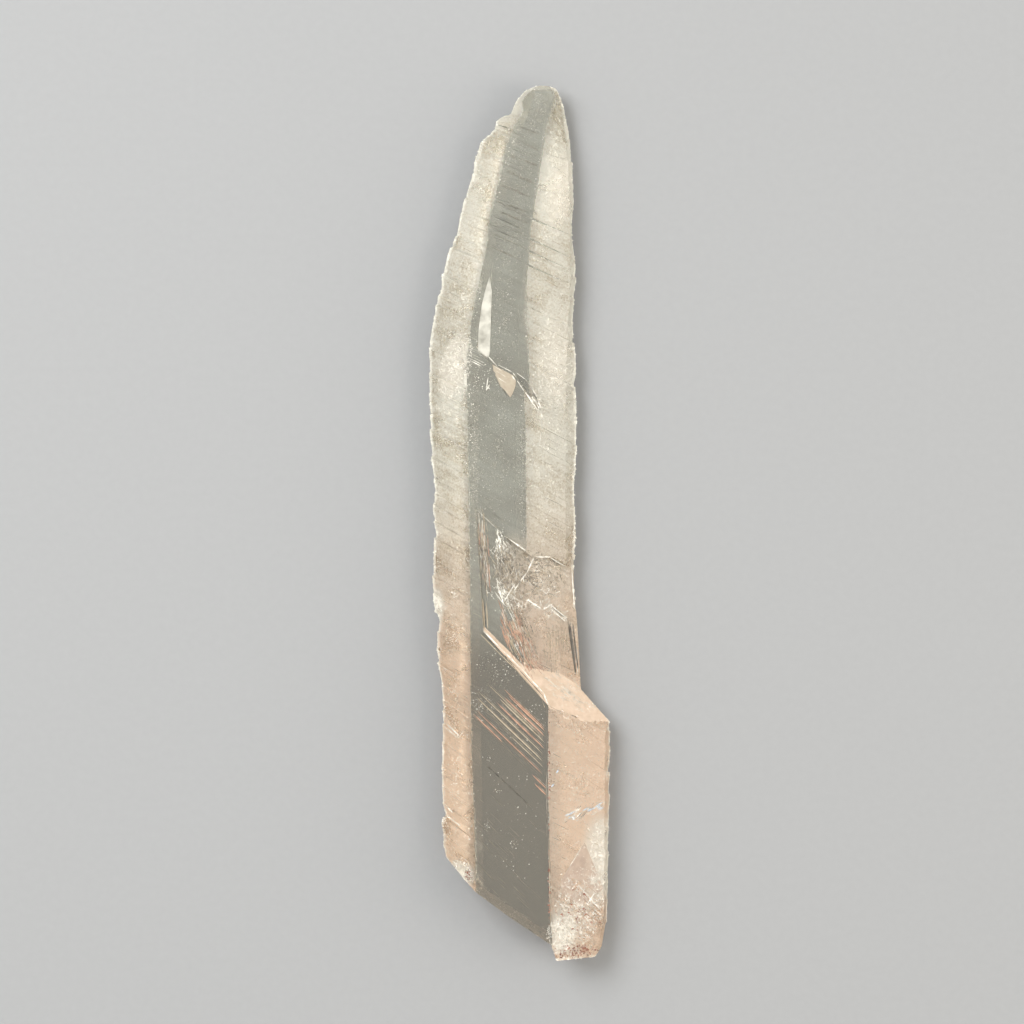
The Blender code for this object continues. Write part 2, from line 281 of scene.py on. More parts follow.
@dataclass(frozen=True)
class ClearNifontovite:
    """Natural nifontovite, a colourless calcium borate, with etched bevels and glassy broad faces.

    The clear stone lets the floor show through its broad faces. Its clear tint is deeper than the
    colourless stone's own: painted shade, which greys the polished faces most where no haze lightens them.
    Its etched faces scatter what passes, so they look like frosted glass and take a warm cream tone from
    the light around them.
    """

    index_of_refraction: float = 1.58
    transmission: float = 0.80
    absorption_colour: str = "#E9EDE4"
    absorption_per_metre: float = 18.0
    hazy_tint: str = "#D2D4CB"
    milk_tint: str = "#BEBFB4"
    # deeper than the colourless stone: painted shade that greys the polished faces
    clear_tint_with_painted_shade: str = "#989388"
    etched_light: str = "#FFFDF2"
    etched_dark: str = "#BDB096"
    etched_warm: str = "#FFDDC5"
    shard_dark: str = "#94896F"
    white: str = "#FFF8EA"
    polished_roughness: float = 0.04
    haze_roughness: float = 0.10
    etched_roughness: float = 0.33
    roughness_swing: float = 0.4  # share by which clouds change the etched roughness
    etch_grain: float = 0.2  # width of one etch pit; real ones are finer and would not show
    cloud: tuple[float, float, float] = (4.68, 2.6, 2.6)
    streak: tuple[float, float, float] = (5.0, 0.30, 2.5)  # length, width and depth of a growth line
    streak_angle_deg: float = -27.0
    shard: float = 0.34  # size of one piece of shattered stone
    bends_per_mm: float = 1.1  # how often the shards' seams wander
    warm_heights: Pair = (8.0, -20.0)  # the tone grows warmer from one to the other
    warm_share: float = 0.85
    least_band: float = 0.15  # how hazy the clear stone is where nothing clouds it
    grain_relief: float = 0.06
    streak_relief: float = 0.018

    def patterns(self, tree: bpy.types.NodeTree, in_mm: Socket) -> Sockets:
        """Draw the patterns of the stone.

        Args:
            tree: the material's tree.
            in_mm: the place on the crystal.

        Returns:
            The etch grain, the clouds and growth streaks, and the shards' colours and seams, by name.
        """
        turned = add_node(
            tree, "ShaderNodeMapping", {"Vector": in_mm},
            {"Rotation": (0.0, 0.0, math.radians(-self.streak_angle_deg))},
        ).outputs[0]
        clouds, streaks = (
            add_node(
                tree, "ShaderNodeMapping", {"Vector": turned}, {"Scale": [1 / side for side in size]}
            ).outputs[0]
            for size in (self.cloud, self.streak)
        )
        pattern = {
            name: add_node(
                tree, "ShaderNodeTexNoise", {"Vector": start},
                {"Scale": scale, "Detail": detail, "Roughness": rough, "Distortion": distortion},
            ).outputs["Fac"]
            for name, start, scale, detail, rough, distortion in (
                ("grain", in_mm, 1 / self.etch_grain, 3.0, 0.65, 0.0),
                ("cloud", clouds, 1.0, 5.0, 0.62, 0.6),
                ("streak", streaks, 1.0, 3.0, 0.55, 0.0),
            )
        }
        wander = add_node(
            tree, "ShaderNodeTexNoise", {"Vector": in_mm}, {"Scale": self.bends_per_mm, "Detail": 2.0}
        ).outputs["Color"]
        bent = add_node(tree, "ShaderNodeVectorMath", {0: in_mm, 1: wander}, operation="ADD").outputs[0]
        for name, feature, output in (("shards", "F1", "Color"), ("seams", "DISTANCE_TO_EDGE", "Distance")):
            pattern[name] = add_node(
                tree, "ShaderNodeTexVoronoi", {"Vector": bent}, {"Scale": 1 / self.shard}, feature=feature
            ).outputs[output]
        return pattern

    def shares(self, tree: bpy.types.NodeTree, in_mm: Socket, pattern: Sockets) -> Sockets:
        """Turn the patterns and the crystal's attributes into the shares that the finish mixes by.

        Args:
            tree: the material's tree.
            in_mm: the place on the crystal.
            pattern: the patterns, by name.

        Returns:
            The shares, by name.
        """
        share = {
            name: add_node(tree, "ShaderNodeAttribute", attribute_name=name).outputs["Fac"]
            for name in ("etched", "frost", "haze", "rim", "bruise", "shattered", "glow")
        }
        share["shade"] = add_node(tree, "ShaderNodeSeparateColor", {0: pattern["shards"]}).outputs[0]
        height = add_node(tree, "ShaderNodeSeparateXYZ", {0: in_mm}).outputs["Y"]
        swing = self.etched_roughness * self.roughness_swing
        rough = (self.etched_roughness - swing, self.etched_roughness + swing)
        # Each row stretches a value from between its first two limits to between the last two.
        for name, value, *limits, way in (
            ("grain", pattern["grain"], 0.34, 0.66, -0.16, 0.74, "LINEAR"),
            ("cloud", pattern["cloud"], 0.32, 0.68, -0.27, 0.63, "LINEAR"),
            ("streak", pattern["streak"], 0.3, 0.7, -0.08, 0.32, "LINEAR"),
            ("bands", pattern["streak"], 0.3, 0.7, 0.0, 0.9, "LINEAR"),
            ("seams", pattern["seams"], 0.09, 0.02, 0.0, 1.0, "LINEAR"),
            ("bruise", share["bruise"], 0.0, 1.0, 0.0, 0.6, "LINEAR"),
            # the rim lightens the tone: partly chipped stone, partly a painted highlight along the outline
            ("rim", share["rim"], 0.0, 1.0, 0.0, 0.9, "LINEAR"),
            ("shattered", share["shattered"], 0.0, 1.0, 0.0, 0.8, "LINEAR"),
            ("dull", pattern["cloud"], 0.3, 0.7, *rough, "LINEAR"),
            ("warmth", height, *self.warm_heights, 0.0, self.warm_share, "SMOOTHSTEP"),
        ):
            share[name] = add_node(
                tree, "ShaderNodeMapRange", {"Value": value},
                dict(zip(("From Min", "From Max", "To Min", "To Max"), limits)), interpolation_type=way,
            ).outputs[0]
        # Each row works out a share from two others, and a number where it has one.
        for name, operation, one, other, *number in (
            ("etched", "MAXIMUM", "etched", "frost"),
            ("mottle", "ADD", "grain", "cloud"),
            ("pattern", "ADD", "mottle", "streak"),
            ("marks", "ADD", "bruise", "rim"),
            ("light", "ADD", "pattern", "marks"),
            ("banded", "MULTIPLY_ADD", "haze", "bands", self.least_band),
        ):
            share[name] = add_node(
                tree, "ShaderNodeMath", {0: share[one], 1: share[other]}, dict(enumerate(number, 2)),
                operation=operation,
            ).outputs[0]
        share["sheen"] = add_node(
            tree, "ShaderNodeMath", {0: share["haze"]},
            {1: self.haze_roughness, 2: self.polished_roughness}, operation="MULTIPLY_ADD",
        ).outputs[0]
        return share

    def tone(self, tree: bpy.types.NodeTree, share: Sockets) -> Socket:
        """Mix the stone's tones.

        Args:
            tree: the material's tree.
            share: the shares, by name.

        Returns:
            The colour of the whole crystal.
        """
        tones: Sockets = {}
        # Each row mixes two tones by a share: hex colours, or tones of the rows above it.
        for name, by, *pair, blend in (
            ("frost", "light", self.etched_dark, self.etched_light, "MIX"),
            ("shard", "shade", self.shard_dark, self.etched_light, "MIX"),
            ("seamed", "seams", "shard", self.etched_light, "MIX"),
            ("broken", "shattered", "frost", "seamed", "MIX"),
            ("warm", "warmth", "broken", self.etched_warm, "MULTIPLY"),
            ("glowing", "glow", "warm", self.white, "MIX"),
            ("milk", "haze", self.clear_tint_with_painted_shade, self.milk_tint, "MIX"),
            ("clear", "banded", "milk", self.hazy_tint, "MIX"),
            ("whole", "etched", "clear", "glowing", "MIX"),
        ):
            ends = dict(zip((6, 7), pair))  # the indexes of a Mix node's two colours
            tones[name] = add_node(
                tree, "ShaderNodeMix",
                {0: share[by], **{index: tones[end] for index, end in ends.items() if end in tones}},
                {index: linear(end) for index, end in ends.items() if end not in tones},
                data_type="RGBA", blend_type=blend,
            ).outputs[2]
        return tones["whole"]

    def make(self) -> bpy.types.Material:
        """Build the material.

        Returns:
            One material for the whole crystal, driven by the attributes that CrystalBody writes.
        """
        material, tree, shader, output = blank_material(
            "clear_nifontovite", Transmission_Weight=self.transmission, IOR=self.index_of_refraction
        )
        place = add_node(tree, "ShaderNodeTexCoord").outputs["Object"]
        in_mm = add_node(tree, "ShaderNodeMapping", {"Vector": place}, {"Scale": (1 / MM,) * 3}).outputs[0]
        pattern = self.patterns(tree, in_mm)
        share = self.shares(tree, in_mm, pattern)
        roughness = add_node(
            tree, "ShaderNodeMix", {0: share["etched"], 2: share["sheen"], 3: share["dull"]}
        ).outputs[0]
        lines = add_node(
            tree, "ShaderNodeBump", {"Height": pattern["streak"]},
            {"Strength": 1.0, "Distance": self.streak_relief * MM},
        ).outputs[0]
        relief = add_node(
            tree, "ShaderNodeBump",
            {"Height": pattern["grain"], "Strength": share["etched"], "Normal": lines},
            {"Distance": self.grain_relief * MM},
        ).outputs[0]
        volume = add_node(
            tree, "ShaderNodeVolumeAbsorption",
            values={"Color": linear(self.absorption_colour), "Density": self.absorption_per_metre},
        ).outputs[0]
        for socket, end in (
            (self.tone(tree, share), shader.inputs["Base Color"]),
            (roughness, shader.inputs["Roughness"]),
            (relief, shader.inputs["Normal"]),
            (volume, output.inputs["Volume"]),
        ):
            tree.links.new(socket, end)
        return material


@dataclass(frozen=True)
class BrokenStone:
    """Nifontovite broken, bruised or parted along a cleavage.

    Light scatters at the many small faces, so it looks paler or darker than the clear stone round it,
    and still lets a share through.
    """

    name: str
    light: str
    dark: str
    roughness: float
    transmission: float
    patch: float = 0.7  # the tone changes over this distance
    index_of_refraction: float = 1.58

    def make(self) -> bpy.types.Material:
        """Build the material, or give the one already made under its name.

        Returns:
            The material.
        """
        made = bpy.data.materials.get(self.name)
        if made:
            return made
        material, tree, shader, _ = blank_material(
            self.name, Roughness=self.roughness, Transmission_Weight=self.transmission,
            IOR=self.index_of_refraction,
        )
        place = add_node(tree, "ShaderNodeTexCoord").outputs["Object"]
        patches = add_node(
            tree, "ShaderNodeTexNoise", {"Vector": place},
            {"Scale": 1 / (self.patch * MM), "Detail": 3.0, "Roughness": 0.6},
        ).outputs["Fac"]
        spread = add_node(
            tree, "ShaderNodeMapRange", {"Value": patches}, {"From Min": 0.35, "From Max": 0.65}
        ).outputs[0]
        tone = add_node(
            tree, "ShaderNodeMix", {0: spread}, {6: linear(self.dark), 7: linear(self.light)},
            data_type="RGBA",
        )
        tree.links.new(tone.outputs[2], shader.inputs["Base Color"])
        return material


# Crushed and etched stone: dull, like ground glass, and nearly white where it is fresh.
ETCH = BrokenStone("etched_grains", "#FFFBEF", "#C6BEAB", 0.5, 0.45, 0.5)
# rim chips: partly real chips, partly a painted highlight along the outline
RIM = BrokenStone("rim_chips", "#FAF8EF", "#CFCCC1", 0.5, 0.2, 0.5)
BLOOM = BrokenStone("white_bloom", "#F6F3EA", "#D2CEC3", 0.5, 0.1, 0.5)
LEDGE_SKIN = BrokenStone("satin_ledge", "#E8D3BE", "#D6C0A8", 0.4, 0.45, 0.6)
VEIL = BrokenStone("thin_veil", "#CDB9A6", "#B9A391", 0.45, 0.6)
# Small smooth faces that throw the light straight back, their glints painted into their colour: bright
# glints and specks.
PAINTED_GLINT = BrokenStone("painted_glint", "#FFFDF4", "#DCD8CD", 0.3, 0.05, 0.5)
SPECK = BrokenStone("strip_speck", "#BAB7AD", "#8F8C81", 0.45, 0.3, 0.5)
FACET_WHITE = BrokenStone("white_facet", "#C0BFB6", "#8A8980", 0.3, 0.1, 1.4)
FACET_PEACH = BrokenStone("peach_facet", "#A59D8B", "#978A7A", 0.3, 0.1, 0.6)
BLUE = BrokenStone("blue_glint", "#D5E8F4", "#A9C6DE", 0.25, 0.3)
# Open cleavages seen from the side that is lit, real partings whose brightness is partly painted highlight:
# white, cream or peach lines.
BRIGHT = BrokenStone("bright_parting", "#EBE9E0", "#A8A59B", 0.35, 0.05, 0.5)
CREAM = BrokenStone("cream_parting", "#AA9E89", "#8F816C", 0.4, 0.1)
PEACH = BrokenStone("peach_parting", "#AE8871", "#8D6D5B", 0.4, 0.1)
# Open cleavages seen from their dark side, real partings whose darkness is painted shade: grey lines,
# painted shadows and dark gaps.
LINE = BrokenStone("grey_parting", "#8E8B81", "#6E6B61", 0.4, 0.3, 0.5)
HOLLOW = BrokenStone("hollow_parting", "#A5A195", "#827D72", 0.2, 0.85)
SHADE_AND_DARK_SPECKS = BrokenStone("painted_shade_and_dark_specks", "#7E7A70", "#4E4A44", 0.3, 0.75)
DARK = BrokenStone("dark_gap", "#8A8478", "#575147", 0.35, 0.3)
DEEP = BrokenStone("deep_gap", "#554F45", "#332E27", 0.35, 0.15)
# Iron-stained flecks of the matrix: dull red-brown.
BROWN = BrokenStone("brown_stain", "#A2644C", "#6E3C2B", 0.6, 0.3)


@dataclass(frozen=True)
class FloorCard:
    """Pale studio card with a dull face and a faint, fine tooth."""

    light: str = "#8B8D8F"
    dark: str = "#87898B"
    tooth: float = 0.8  # width of one fleck of the card's pulp
    roughness: float = 0.75

    def make(self) -> bpy.types.Material:
        """Build the card's material.

        Returns:
            The material.
        """
        material, tree, shader, _ = blank_material("pale_studio_card", Roughness=self.roughness)
        place = add_node(tree, "ShaderNodeTexCoord").outputs["Object"]
        pulp = add_node(
            tree, "ShaderNodeTexNoise", {"Vector": place}, {"Scale": 1 / (self.tooth * MM), "Detail": 2.0}
        ).outputs["Fac"]
        tone = add_node(
            tree, "ShaderNodeMix", {0: pulp}, {6: linear(self.dark), 7: linear(self.light)},
            data_type="RGBA",
        )
        tree.links.new(tone.outputs[2], shader.inputs["Base Color"])
        return material


# ---------------------------------------------------------------- the crystal


@dataclass(frozen=True)
class Patch:
    """An oval area of the crystal, seen from the front."""

    x: float
    y: float
    half_x: float
    half_y: float
    turn_deg: float = 0.0
    strength: float = 1.0

    def share(self, x: float, y: float) -> float:
        """Give the strength at a place: full in the middle, nothing at the rim.

        Args:
            x: the place along X.
            y: the place along Y.

        Returns:
            From zero to the patch's strength.
        """
        angle = math.radians(self.turn_deg)
        off_x, off_y = x - self.x, y - self.y
        along = (off_x * math.cos(angle) + off_y * math.sin(angle)) / self.half_x
        across = (off_y * math.cos(angle) - off_x * math.sin(angle)) / self.half_y
        return self.strength * max(0.0, 1.0 - along * along - across * across)

    def pick(self, chance: random.Random) -> tuple[float, float]:
        """Pick a place in the oval, denser towards its middle.

        Args:
            chance: the random draws.

        Returns:
            The place's x and y.
        """
        away, way = chance.random() ** INWARD, chance.uniform(0.0, math.tau)
        along, across = away * math.cos(way) * self.half_x, away * math.sin(way) * self.half_y
        angle = math.radians(self.turn_deg)
        return (
            self.x + along * math.cos(angle) - across * math.sin(angle),
            self.y + along * math.sin(angle) + across * math.cos(angle),
        )


@dataclass
class CrystalBody:
    """The whole crystal: the frame's solid, divided finely, weathered and marked by zone."""

    longest_edge: float = 0.5
    longest_clear_edge: float = 0.9
    merge_distance: float = 0.002
    flat_angle_deg: float = 0.3
    sharp_angle_deg: float = 16.0
    ledge_normal: tuple[float, float, float] = (0.48, 0.43, 0.76)
    ledge_limit: float = 0.985
    back_limit: float = 0.965
    strip_limit: float = 0.72  # growth steps that cross the strip are as glassy as the strip
    strip_tilt: float = 0.16
    step_fall: float = 0.3
    step_tilt: float = 0.32
    plateau_foot: float = 20.0
    wall_tilt: float = 0.1
    strip_middle: float = 0.4
    tip_bend: float = 38.0  # above this height the strip's middle bends to the right
    tip_bend_slope: float = 0.25
    side_limit: float = 0.15  # a face is a front or rear one when its normal's Z passes this
    under_front_frost: float = 0.25  # the rear bevels are less etched where the front face covers them
    ray_start: float = 0.05  # a ray towards the front face starts this far off its own face
    # steep bevels are lightened towards the rim: partly chipped stone, partly a painted highlight
    steep_limit: float = 0.62  # a bevel steeper than this ends in the pale rim
    steep_light: float = 0.4
    ledge_bruise: float = 1.0
    pit_size: float = 0.6
    pit_depth: float = 0.05
    lump_size: float = 2.2
    lump_depth: float = 0.05
    # below this height the haze fades out, so the deeper clear tint, a painted shade, shows on the strip
    clear_below: float = -12.0
    haze_fade: float = 6.0
    haze_cloud: float = 3.0
    haze_range: Pair = (0.75, 0.5)  # its middle and its swing
    glow_power: float = 1.3
    bruised: Rows = (  # patches where the stone is paler and the grains crowd
        (-6.7, 14, 1.9, 5.6, -12, 0.9), (3.9, 13.2, 2.4, 7.6, 0, 0.6), (3.6, 35.5, 2.6, 6.5, 0, 0.7),
        (-8.9, -8.9, 0.9, 1.7, 0, 1.6), (8.8, -37.2, 1.3, 4.6, 0, 0.8), (5, -43.4, 1.9, 2.5, 0, 0.8),
        (-6.6, -37.6, 1.6, 1.5, 0, 1.2), (-5.5, 35, 2.2, 5, -20, 0.5), (6.4, -28, 5, 15, 0, 0.75),
        (6.2, -22.5, 4.2, 7, 0, 0.45), (3, -11, 3.6, 7.5, 0, 0.4), (-6.8, -24, 2.8, 20, 0, 0.75),
    )
    shattered: Rows = (  # patches of shards with bright seams
        (1.2, -6.2, 4.6, 3.8, -15, 1.6), (0.6, -11.5, 1.6, 4.6, 12, 0.9), (4.2, -12.5, 1.9, 4.2, 0, 0.6),
        (6, -41.8, 4, 4.2, 0, 1.4), (-6.6, -37.5, 1.8, 1.8, 0, 1.4), (4, 14, 2.4, 9, 0, 0.4),
    )
    glowing: Rows = (  # patches of crushed, nearly white stone
        (8.6, -36.2, 2.3, 5.6, 0, 1.5), (4.6, -43.7, 2, 3, 0, 1.5), (-6.4, -37.9, 2.1, 1.8, 0, 1.3),
        (-8.9, -9, 0.9, 2.2, 0, 1.6), (-6.9, 16.8, 1.9, 3.8, -15, 1.5), (4.3, 35.2, 1.5, 5, -8, 1.1),
        (3.9, 17.2, 2.4, 5.5, 0, 0.8),
    )
    frosted: Rows = (  # patches of the clear faces that are lightly etched
        (0.1, -5.8, 3.2, 5.2, 12, 1), (1.1, -11.6, 1.7, 4.8, 12, 1), (-3.9, -3.5, 0.45, 4.6, 6, 0.5),
        (1.2, 22.3, 0.75, 4.8, 0, 1.3),
    )
    most_glow: float = 0.9
    most_frost: float = 0.85

    def zone_of(self, normal: Vector, centre: Vector) -> Zone:
        """Name a face's kind.

        Args:
            normal: the way it points.
            centre: where it is.

        Returns:
            Its kind.
        """
        if normal.dot(Vector(self.ledge_normal)) > self.ledge_limit:
            return Zone.LEDGE
        above_foot = centre.y > self.plateau_foot
        tilt = self.step_tilt if above_foot and normal.y < -self.step_fall else self.strip_tilt
        on_strip = normal.z > self.strip_limit and abs(normal.x) < tilt
        strip_middle = self.strip_middle + max(0.0, centre.y - self.tip_bend) * self.tip_bend_slope
        if on_strip or (above_foot and centre.x < strip_middle and normal.x > self.wall_tilt):
            return Zone.FRONT
        return Zone.BACK if normal.z < -self.back_limit else Zone.ETCHED

    def merged(self) -> BMesh:
        """Copy the frame's solid as one closed mesh in millimetres, with flat faces left whole.

        Returns:
            The copy, in triangles.
        """
        mesh = bmesh.new()
        mesh.from_mesh(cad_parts[NODE].data)
        bmesh.ops.scale(mesh, verts=mesh.verts, vec=(1 / MM,) * 3)
        bmesh.ops.remove_doubles(mesh, verts=mesh.verts, dist=self.merge_distance)
        bmesh.ops.dissolve_limit(
            mesh, angle_limit=math.radians(self.flat_angle_deg), verts=mesh.verts, edges=mesh.edges,
            use_dissolve_boundaries=False,
        )
        bmesh.ops.triangulate(mesh, faces=mesh.faces, quad_method="BEAUTY", ngon_method="BEAUTY")
        return mesh

    def mark(self, mesh: BMesh) -> None:
        """Mark each face as etched or polished, and each edge between two flat faces as a crease.

        Args:
            mesh: the merged solid.
        """
        etched = mesh.faces.layers.float.new("etched")
        for face in mesh.faces:
            zone = self.zone_of(face.normal, face.calc_center_median())
            face[etched] = 0.0 if zone in (Zone.FRONT, Zone.BACK) else 1.0
            face.smooth = True
        for edge in mesh.edges:
            one, other = edge.link_faces
            edge.smooth = one.normal.angle(other.normal) < math.radians(self.sharp_angle_deg)

    def divide(self, mesh: BMesh) -> None:
        """Cut every edge down to the longest one allowed, which is less on etched faces.

        Args:
            mesh: the marked solid.
        """
        etched = mesh.faces.layers.float["etched"]

        def longest(edge: bmesh.types.BMEdge) -> float:
            """Give the greatest length for an edge."""
            pitted = any(face[etched] > 0.5 for face in edge.link_faces)
            return self.longest_edge if pitted else self.longest_clear_edge

        while long_edges := [edge for edge in mesh.edges if edge.calc_length() > longest(edge)]:
            bmesh.ops.subdivide_edges(mesh, edges=long_edges, cuts=1)
            wide = [face for face in mesh.faces if len(face.verts) > 3]
            bmesh.ops.triangulate(mesh, faces=wide, quad_method="SHORT_EDGE", ngon_method="BEAUTY")

    def clear_under_front(self, mesh: BMesh) -> None:
        """Frost the rear bevels only lightly where the polished front face covers them.

        Args:
            mesh: the divided solid.
        """
        etched = mesh.faces.layers.float["etched"]
        mesh.faces.ensure_lookup_table()
        tree = BVHTree.FromBMesh(mesh)
        for face in mesh.faces:
            if face.normal.z > -self.side_limit or face[etched] < 0.5:
                continue
            above = tree.ray_cast(face.calc_center_median() + UP * self.ray_start, UP)[2]
            if above is not None and mesh.faces[above][etched] == 0.0:
                face[etched] = self.under_front_frost

    def weather(self, mesh: BMesh) -> None:
        """Pit the etched faces, and note where the stone is milky, bruised, or at its rim.

        Args:
            mesh: the divided solid.
        """
        etched = mesh.faces.layers.float["etched"]
        names = ("haze", "rim", "bruise", "frost", "glow", "shattered")
        layer = {name: mesh.verts.layers.float.new(name) for name in names}
        areas = [
            (layer[name], [Patch(*row) for row in rows], power, most)
            for name, rows, power, most in (
                ("bruise", self.bruised, 1.0, math.inf),
                ("frost", self.frosted, 1.0, self.most_frost),
                ("glow", self.glowing, self.glow_power, self.most_glow),
                ("shattered", self.shattered, 1.0, 1.0),
            )
        ]
        moves = []
        for vertex in mesh.verts:
            place = vertex.co
            heights = [face.normal.z for face in vertex.link_faces]
            # The outline is lightened: partly its real chips, partly a painted highlight.
            at_rim = max(heights) > self.side_limit and min(heights) < -self.side_limit
            vertex[layer["rim"]] = 1.0 if at_rim else 0.0
            if min(heights) > 0.0 and max(heights) < self.steep_limit:
                vertex[layer["rim"]] = self.steep_light
            for area, patches, power, most in areas:
                vertex[area] = min(most, sum(patch.share(place.x, place.y) ** power for patch in patches))
            if Zone.LEDGE in {self.zone_of(face.normal, place) for face in vertex.link_faces}:
                vertex[layer["bruise"]] += self.ledge_bruise
            fade = min(1.0, max(0.0, (place.y - self.clear_below) / self.haze_fade + 0.5))
            middle, swing = self.haze_range
            vertex[layer["haze"]] = fade * (middle + swing * noise.noise(place / self.haze_cloud))
            if any(face[etched] < 0.5 for face in vertex.link_faces):
                continue
            pits = noise.fractal(place / self.pit_size, 1.0, 2.1, 4) * 0.5 + 0.5
            lumps = noise.noise(place / self.lump_size) * 0.5 + 0.5
            moves.append((vertex, -(self.pit_depth * pits + self.lump_depth * lumps) * vertex.normal))
        for vertex, move in moves:
            vertex.co += move

    def build(self) -> Piece:
        """Build, dress and place the crystal.

        Returns:
            The piece that stands for the frame's node.
        """
        mesh = self.merged()
        self.mark(mesh)
        self.divide(mesh)
        self.clear_under_front(mesh)
        self.weather(mesh)
        keep_in_box(mesh)
        faces = len(mesh.faces)
        piece = finish_mesh("clear_crystal", mesh, ClearNifontovite().make())
        seat(piece, faces)
        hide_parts(NODE)
        return piece


@dataclass
class EtchGrains:
    """Tiny pale grains half sunk in the etched faces, as the etching left them."""

    seed: int = 5
    front_per_square_mm: float = 36.0
    back_per_square_mm: float = 16.0
    # the chips crowd at the rim: partly real chips, partly a painted highlight along the outline
    rim_per_square_mm: float = 110.0
    sizes: Pair = (0.028, 0.09)  # least and greatest radius
    rim_sizes: Pair = (0.04, 0.13)
    flat: float = 0.38  # a grain's height against its width
    lean: float = 0.28
    sunk: float = 0.25
    smallness: float = 2.2  # power for radii: above one, most are small
    stretch: Pair = (0.8, 2.0)  # a grain's length against its width
    least_share: float = 0.06
    even_share: float = 0.4  # before clouds, growth bands and bruises change it by these weights
    cloud_weight: float = 0.6
    band_weight: float = 0.25
    bruise_weight: float = 0.8
    clouds_per_mm: tuple[float, float, float] = (0.45, 0.3, 0.2)
    cloud_shift: float = 7.0  # picks the clouds out of the endless noise
    bands_per_mm: float = 1.6
    band_slope: float = 0.5
    band_shift: float = 3.0

    def crowding(self, place: Vector, bruise: float) -> float:
        """Thin the grains out in cloudy patches and slanting growth bands, and crowd them in bruises.

        Args:
            place: where, in millimetres.
            bruise: how bruised the stone is there.

        Returns:
            The share of grains kept.
        """
        per_x, per_y, per_z = self.clouds_per_mm
        at = Vector((place.x * per_x, place.y * per_y, place.z * per_z + self.cloud_shift))
        cloud = noise.fractal(at, 1.0, 2.0, 4)
        across = place.y + self.band_slope * place.x
        band = noise.noise(Vector((0.0, across * self.bands_per_mm, self.band_shift)))
        share = self.even_share + self.cloud_weight * cloud + self.band_weight * band
        return max(self.least_share, share + self.bruise_weight * bruise)

    def grain(
        self, chance: random.Random, corners: Sequence[Vector], normal: Vector, sizes: Pair
    ) -> Matrix:
        """Place one grain at random on a face.

        Args:
            chance: the random draws.
            corners: the face's three corners.
            normal: its outward direction.
            sizes: least and greatest radius.

        Returns:
            The matrix that carries a unit grain there.
        """
        first, second = sorted((chance.random(), chance.random()))
        place = corners[0] * first + corners[1] * (second - first) + corners[2] * (1.0 - second)
        radius = sizes[0] + (sizes[1] - sizes[0]) * chance.random() ** self.smallness
        lean = normal + Vector((chance.gauss(0.0, self.lean) for _ in range(3)))
        spin = Matrix.Rotation(chance.uniform(0.0, math.tau), 4, "Z")
        turn = lean.to_track_quat("Z", "Y").to_matrix().to_4x4() @ spin
        length = radius * chance.uniform(*self.stretch)
        size = Matrix.Diagonal((length, radius, radius * self.flat, 1.0))
        return Matrix.Translation(place - normal * radius * self.flat * self.sunk) @ turn @ size

    def build(self, crystal: Piece) -> None:
        """Scatter the grains over the etched faces, and join those of each area into a piece.

        Args:
            crystal: the dressed crystal.
        """
        chance = random.Random(self.seed)
        data = crystal.data
        etched, rim, bruise = (data.attributes[name].data for name in ("etched", "rim", "bruise"))
        front: list[Matrix] = []
        back: list[Matrix] = []
        chips: list[Matrix] = []
        for polygon in data.polygons:
            if etched[polygon.index].value < 0.5:
                continue
            corners = [data.vertices[index].co / MM for index in polygon.vertices]
            middle = (corners[0] + corners[1] + corners[2]) / 3
            area = polygon.area / MM ** 2
            wanted = area * self.crowding(middle, bruise[polygon.vertices[0]].value)
            if polygon.normal.z > 0.0:
                spots, wanted = front, wanted * self.front_per_square_mm
            else:
                spots, wanted = back, wanted * self.back_per_square_mm
            for _ in range(int(wanted + chance.random())):
                spots.append(self.grain(chance, corners, polygon.normal, self.sizes))
            if any(rim[index].value > 0.5 for index in polygon.vertices):
                for _ in range(int(area * self.rim_per_square_mm + chance.random())):
                    chips.append(self.grain(chance, corners, polygon.normal, self.rim_sizes))
        for name, finish, spots in (
            ("etch_grains_front", ETCH, front), ("etch_grains_back", ETCH, back), ("rim_chips", RIM, chips),
        ):
            seat(repeated(name, grain_shape(), spots, finish.make()), len(spots))


@dataclass
class LedgeSkin:
    """The ledge's satin skin: the crystal's own faces there, raised a little."""

    lift: float = 0.015
    thickness: float = 0.05
    reach: Pair = (-21.5, -11.0)  # it lies between these two heights
    facing: float = 0.93  # cosine of the widest angle to the ledge's own direction
    crease_deg: float = 40.0

    def build(self, crystal: Piece) -> None:
        """Lift the ledge's faces off as a thin closed skin.

        Args:
            crystal: the dressed crystal.
        """
        square = Vector(CrystalBody.ledge_normal).normalized()
        mesh = bmesh.new()
        mesh.from_mesh(crystal.data)
        bmesh.ops.scale(mesh, verts=mesh.verts, vec=(1 / MM,) * 3)
        spare = [
            face for face in mesh.faces
            if face.normal.dot(square) < self.facing
            or not self.reach[0] < face.calc_center_median().y < self.reach[1]
        ]
        bmesh.ops.delete(mesh, geom=spare, context="FACES")
        mesh.normal_update()
        for vertex in mesh.verts:
            vertex.co += vertex.normal * self.lift
        bmesh.ops.solidify(mesh, geom=mesh.faces, thickness=self.thickness)
        bmesh.ops.recalc_face_normals(mesh, faces=mesh.faces)
        keep_in_box(mesh)
        for face in mesh.faces:
            face.smooth = True
        for edge in mesh.edges:
            edge.smooth = edge.calc_face_angle(0.0) < math.radians(self.crease_deg)
        faces = len(mesh.faces)
        seat(finish_mesh("ledge_skin", mesh, LEDGE_SKIN.make()), faces)


# ---------------------------------------------------------------- what lies in and on it


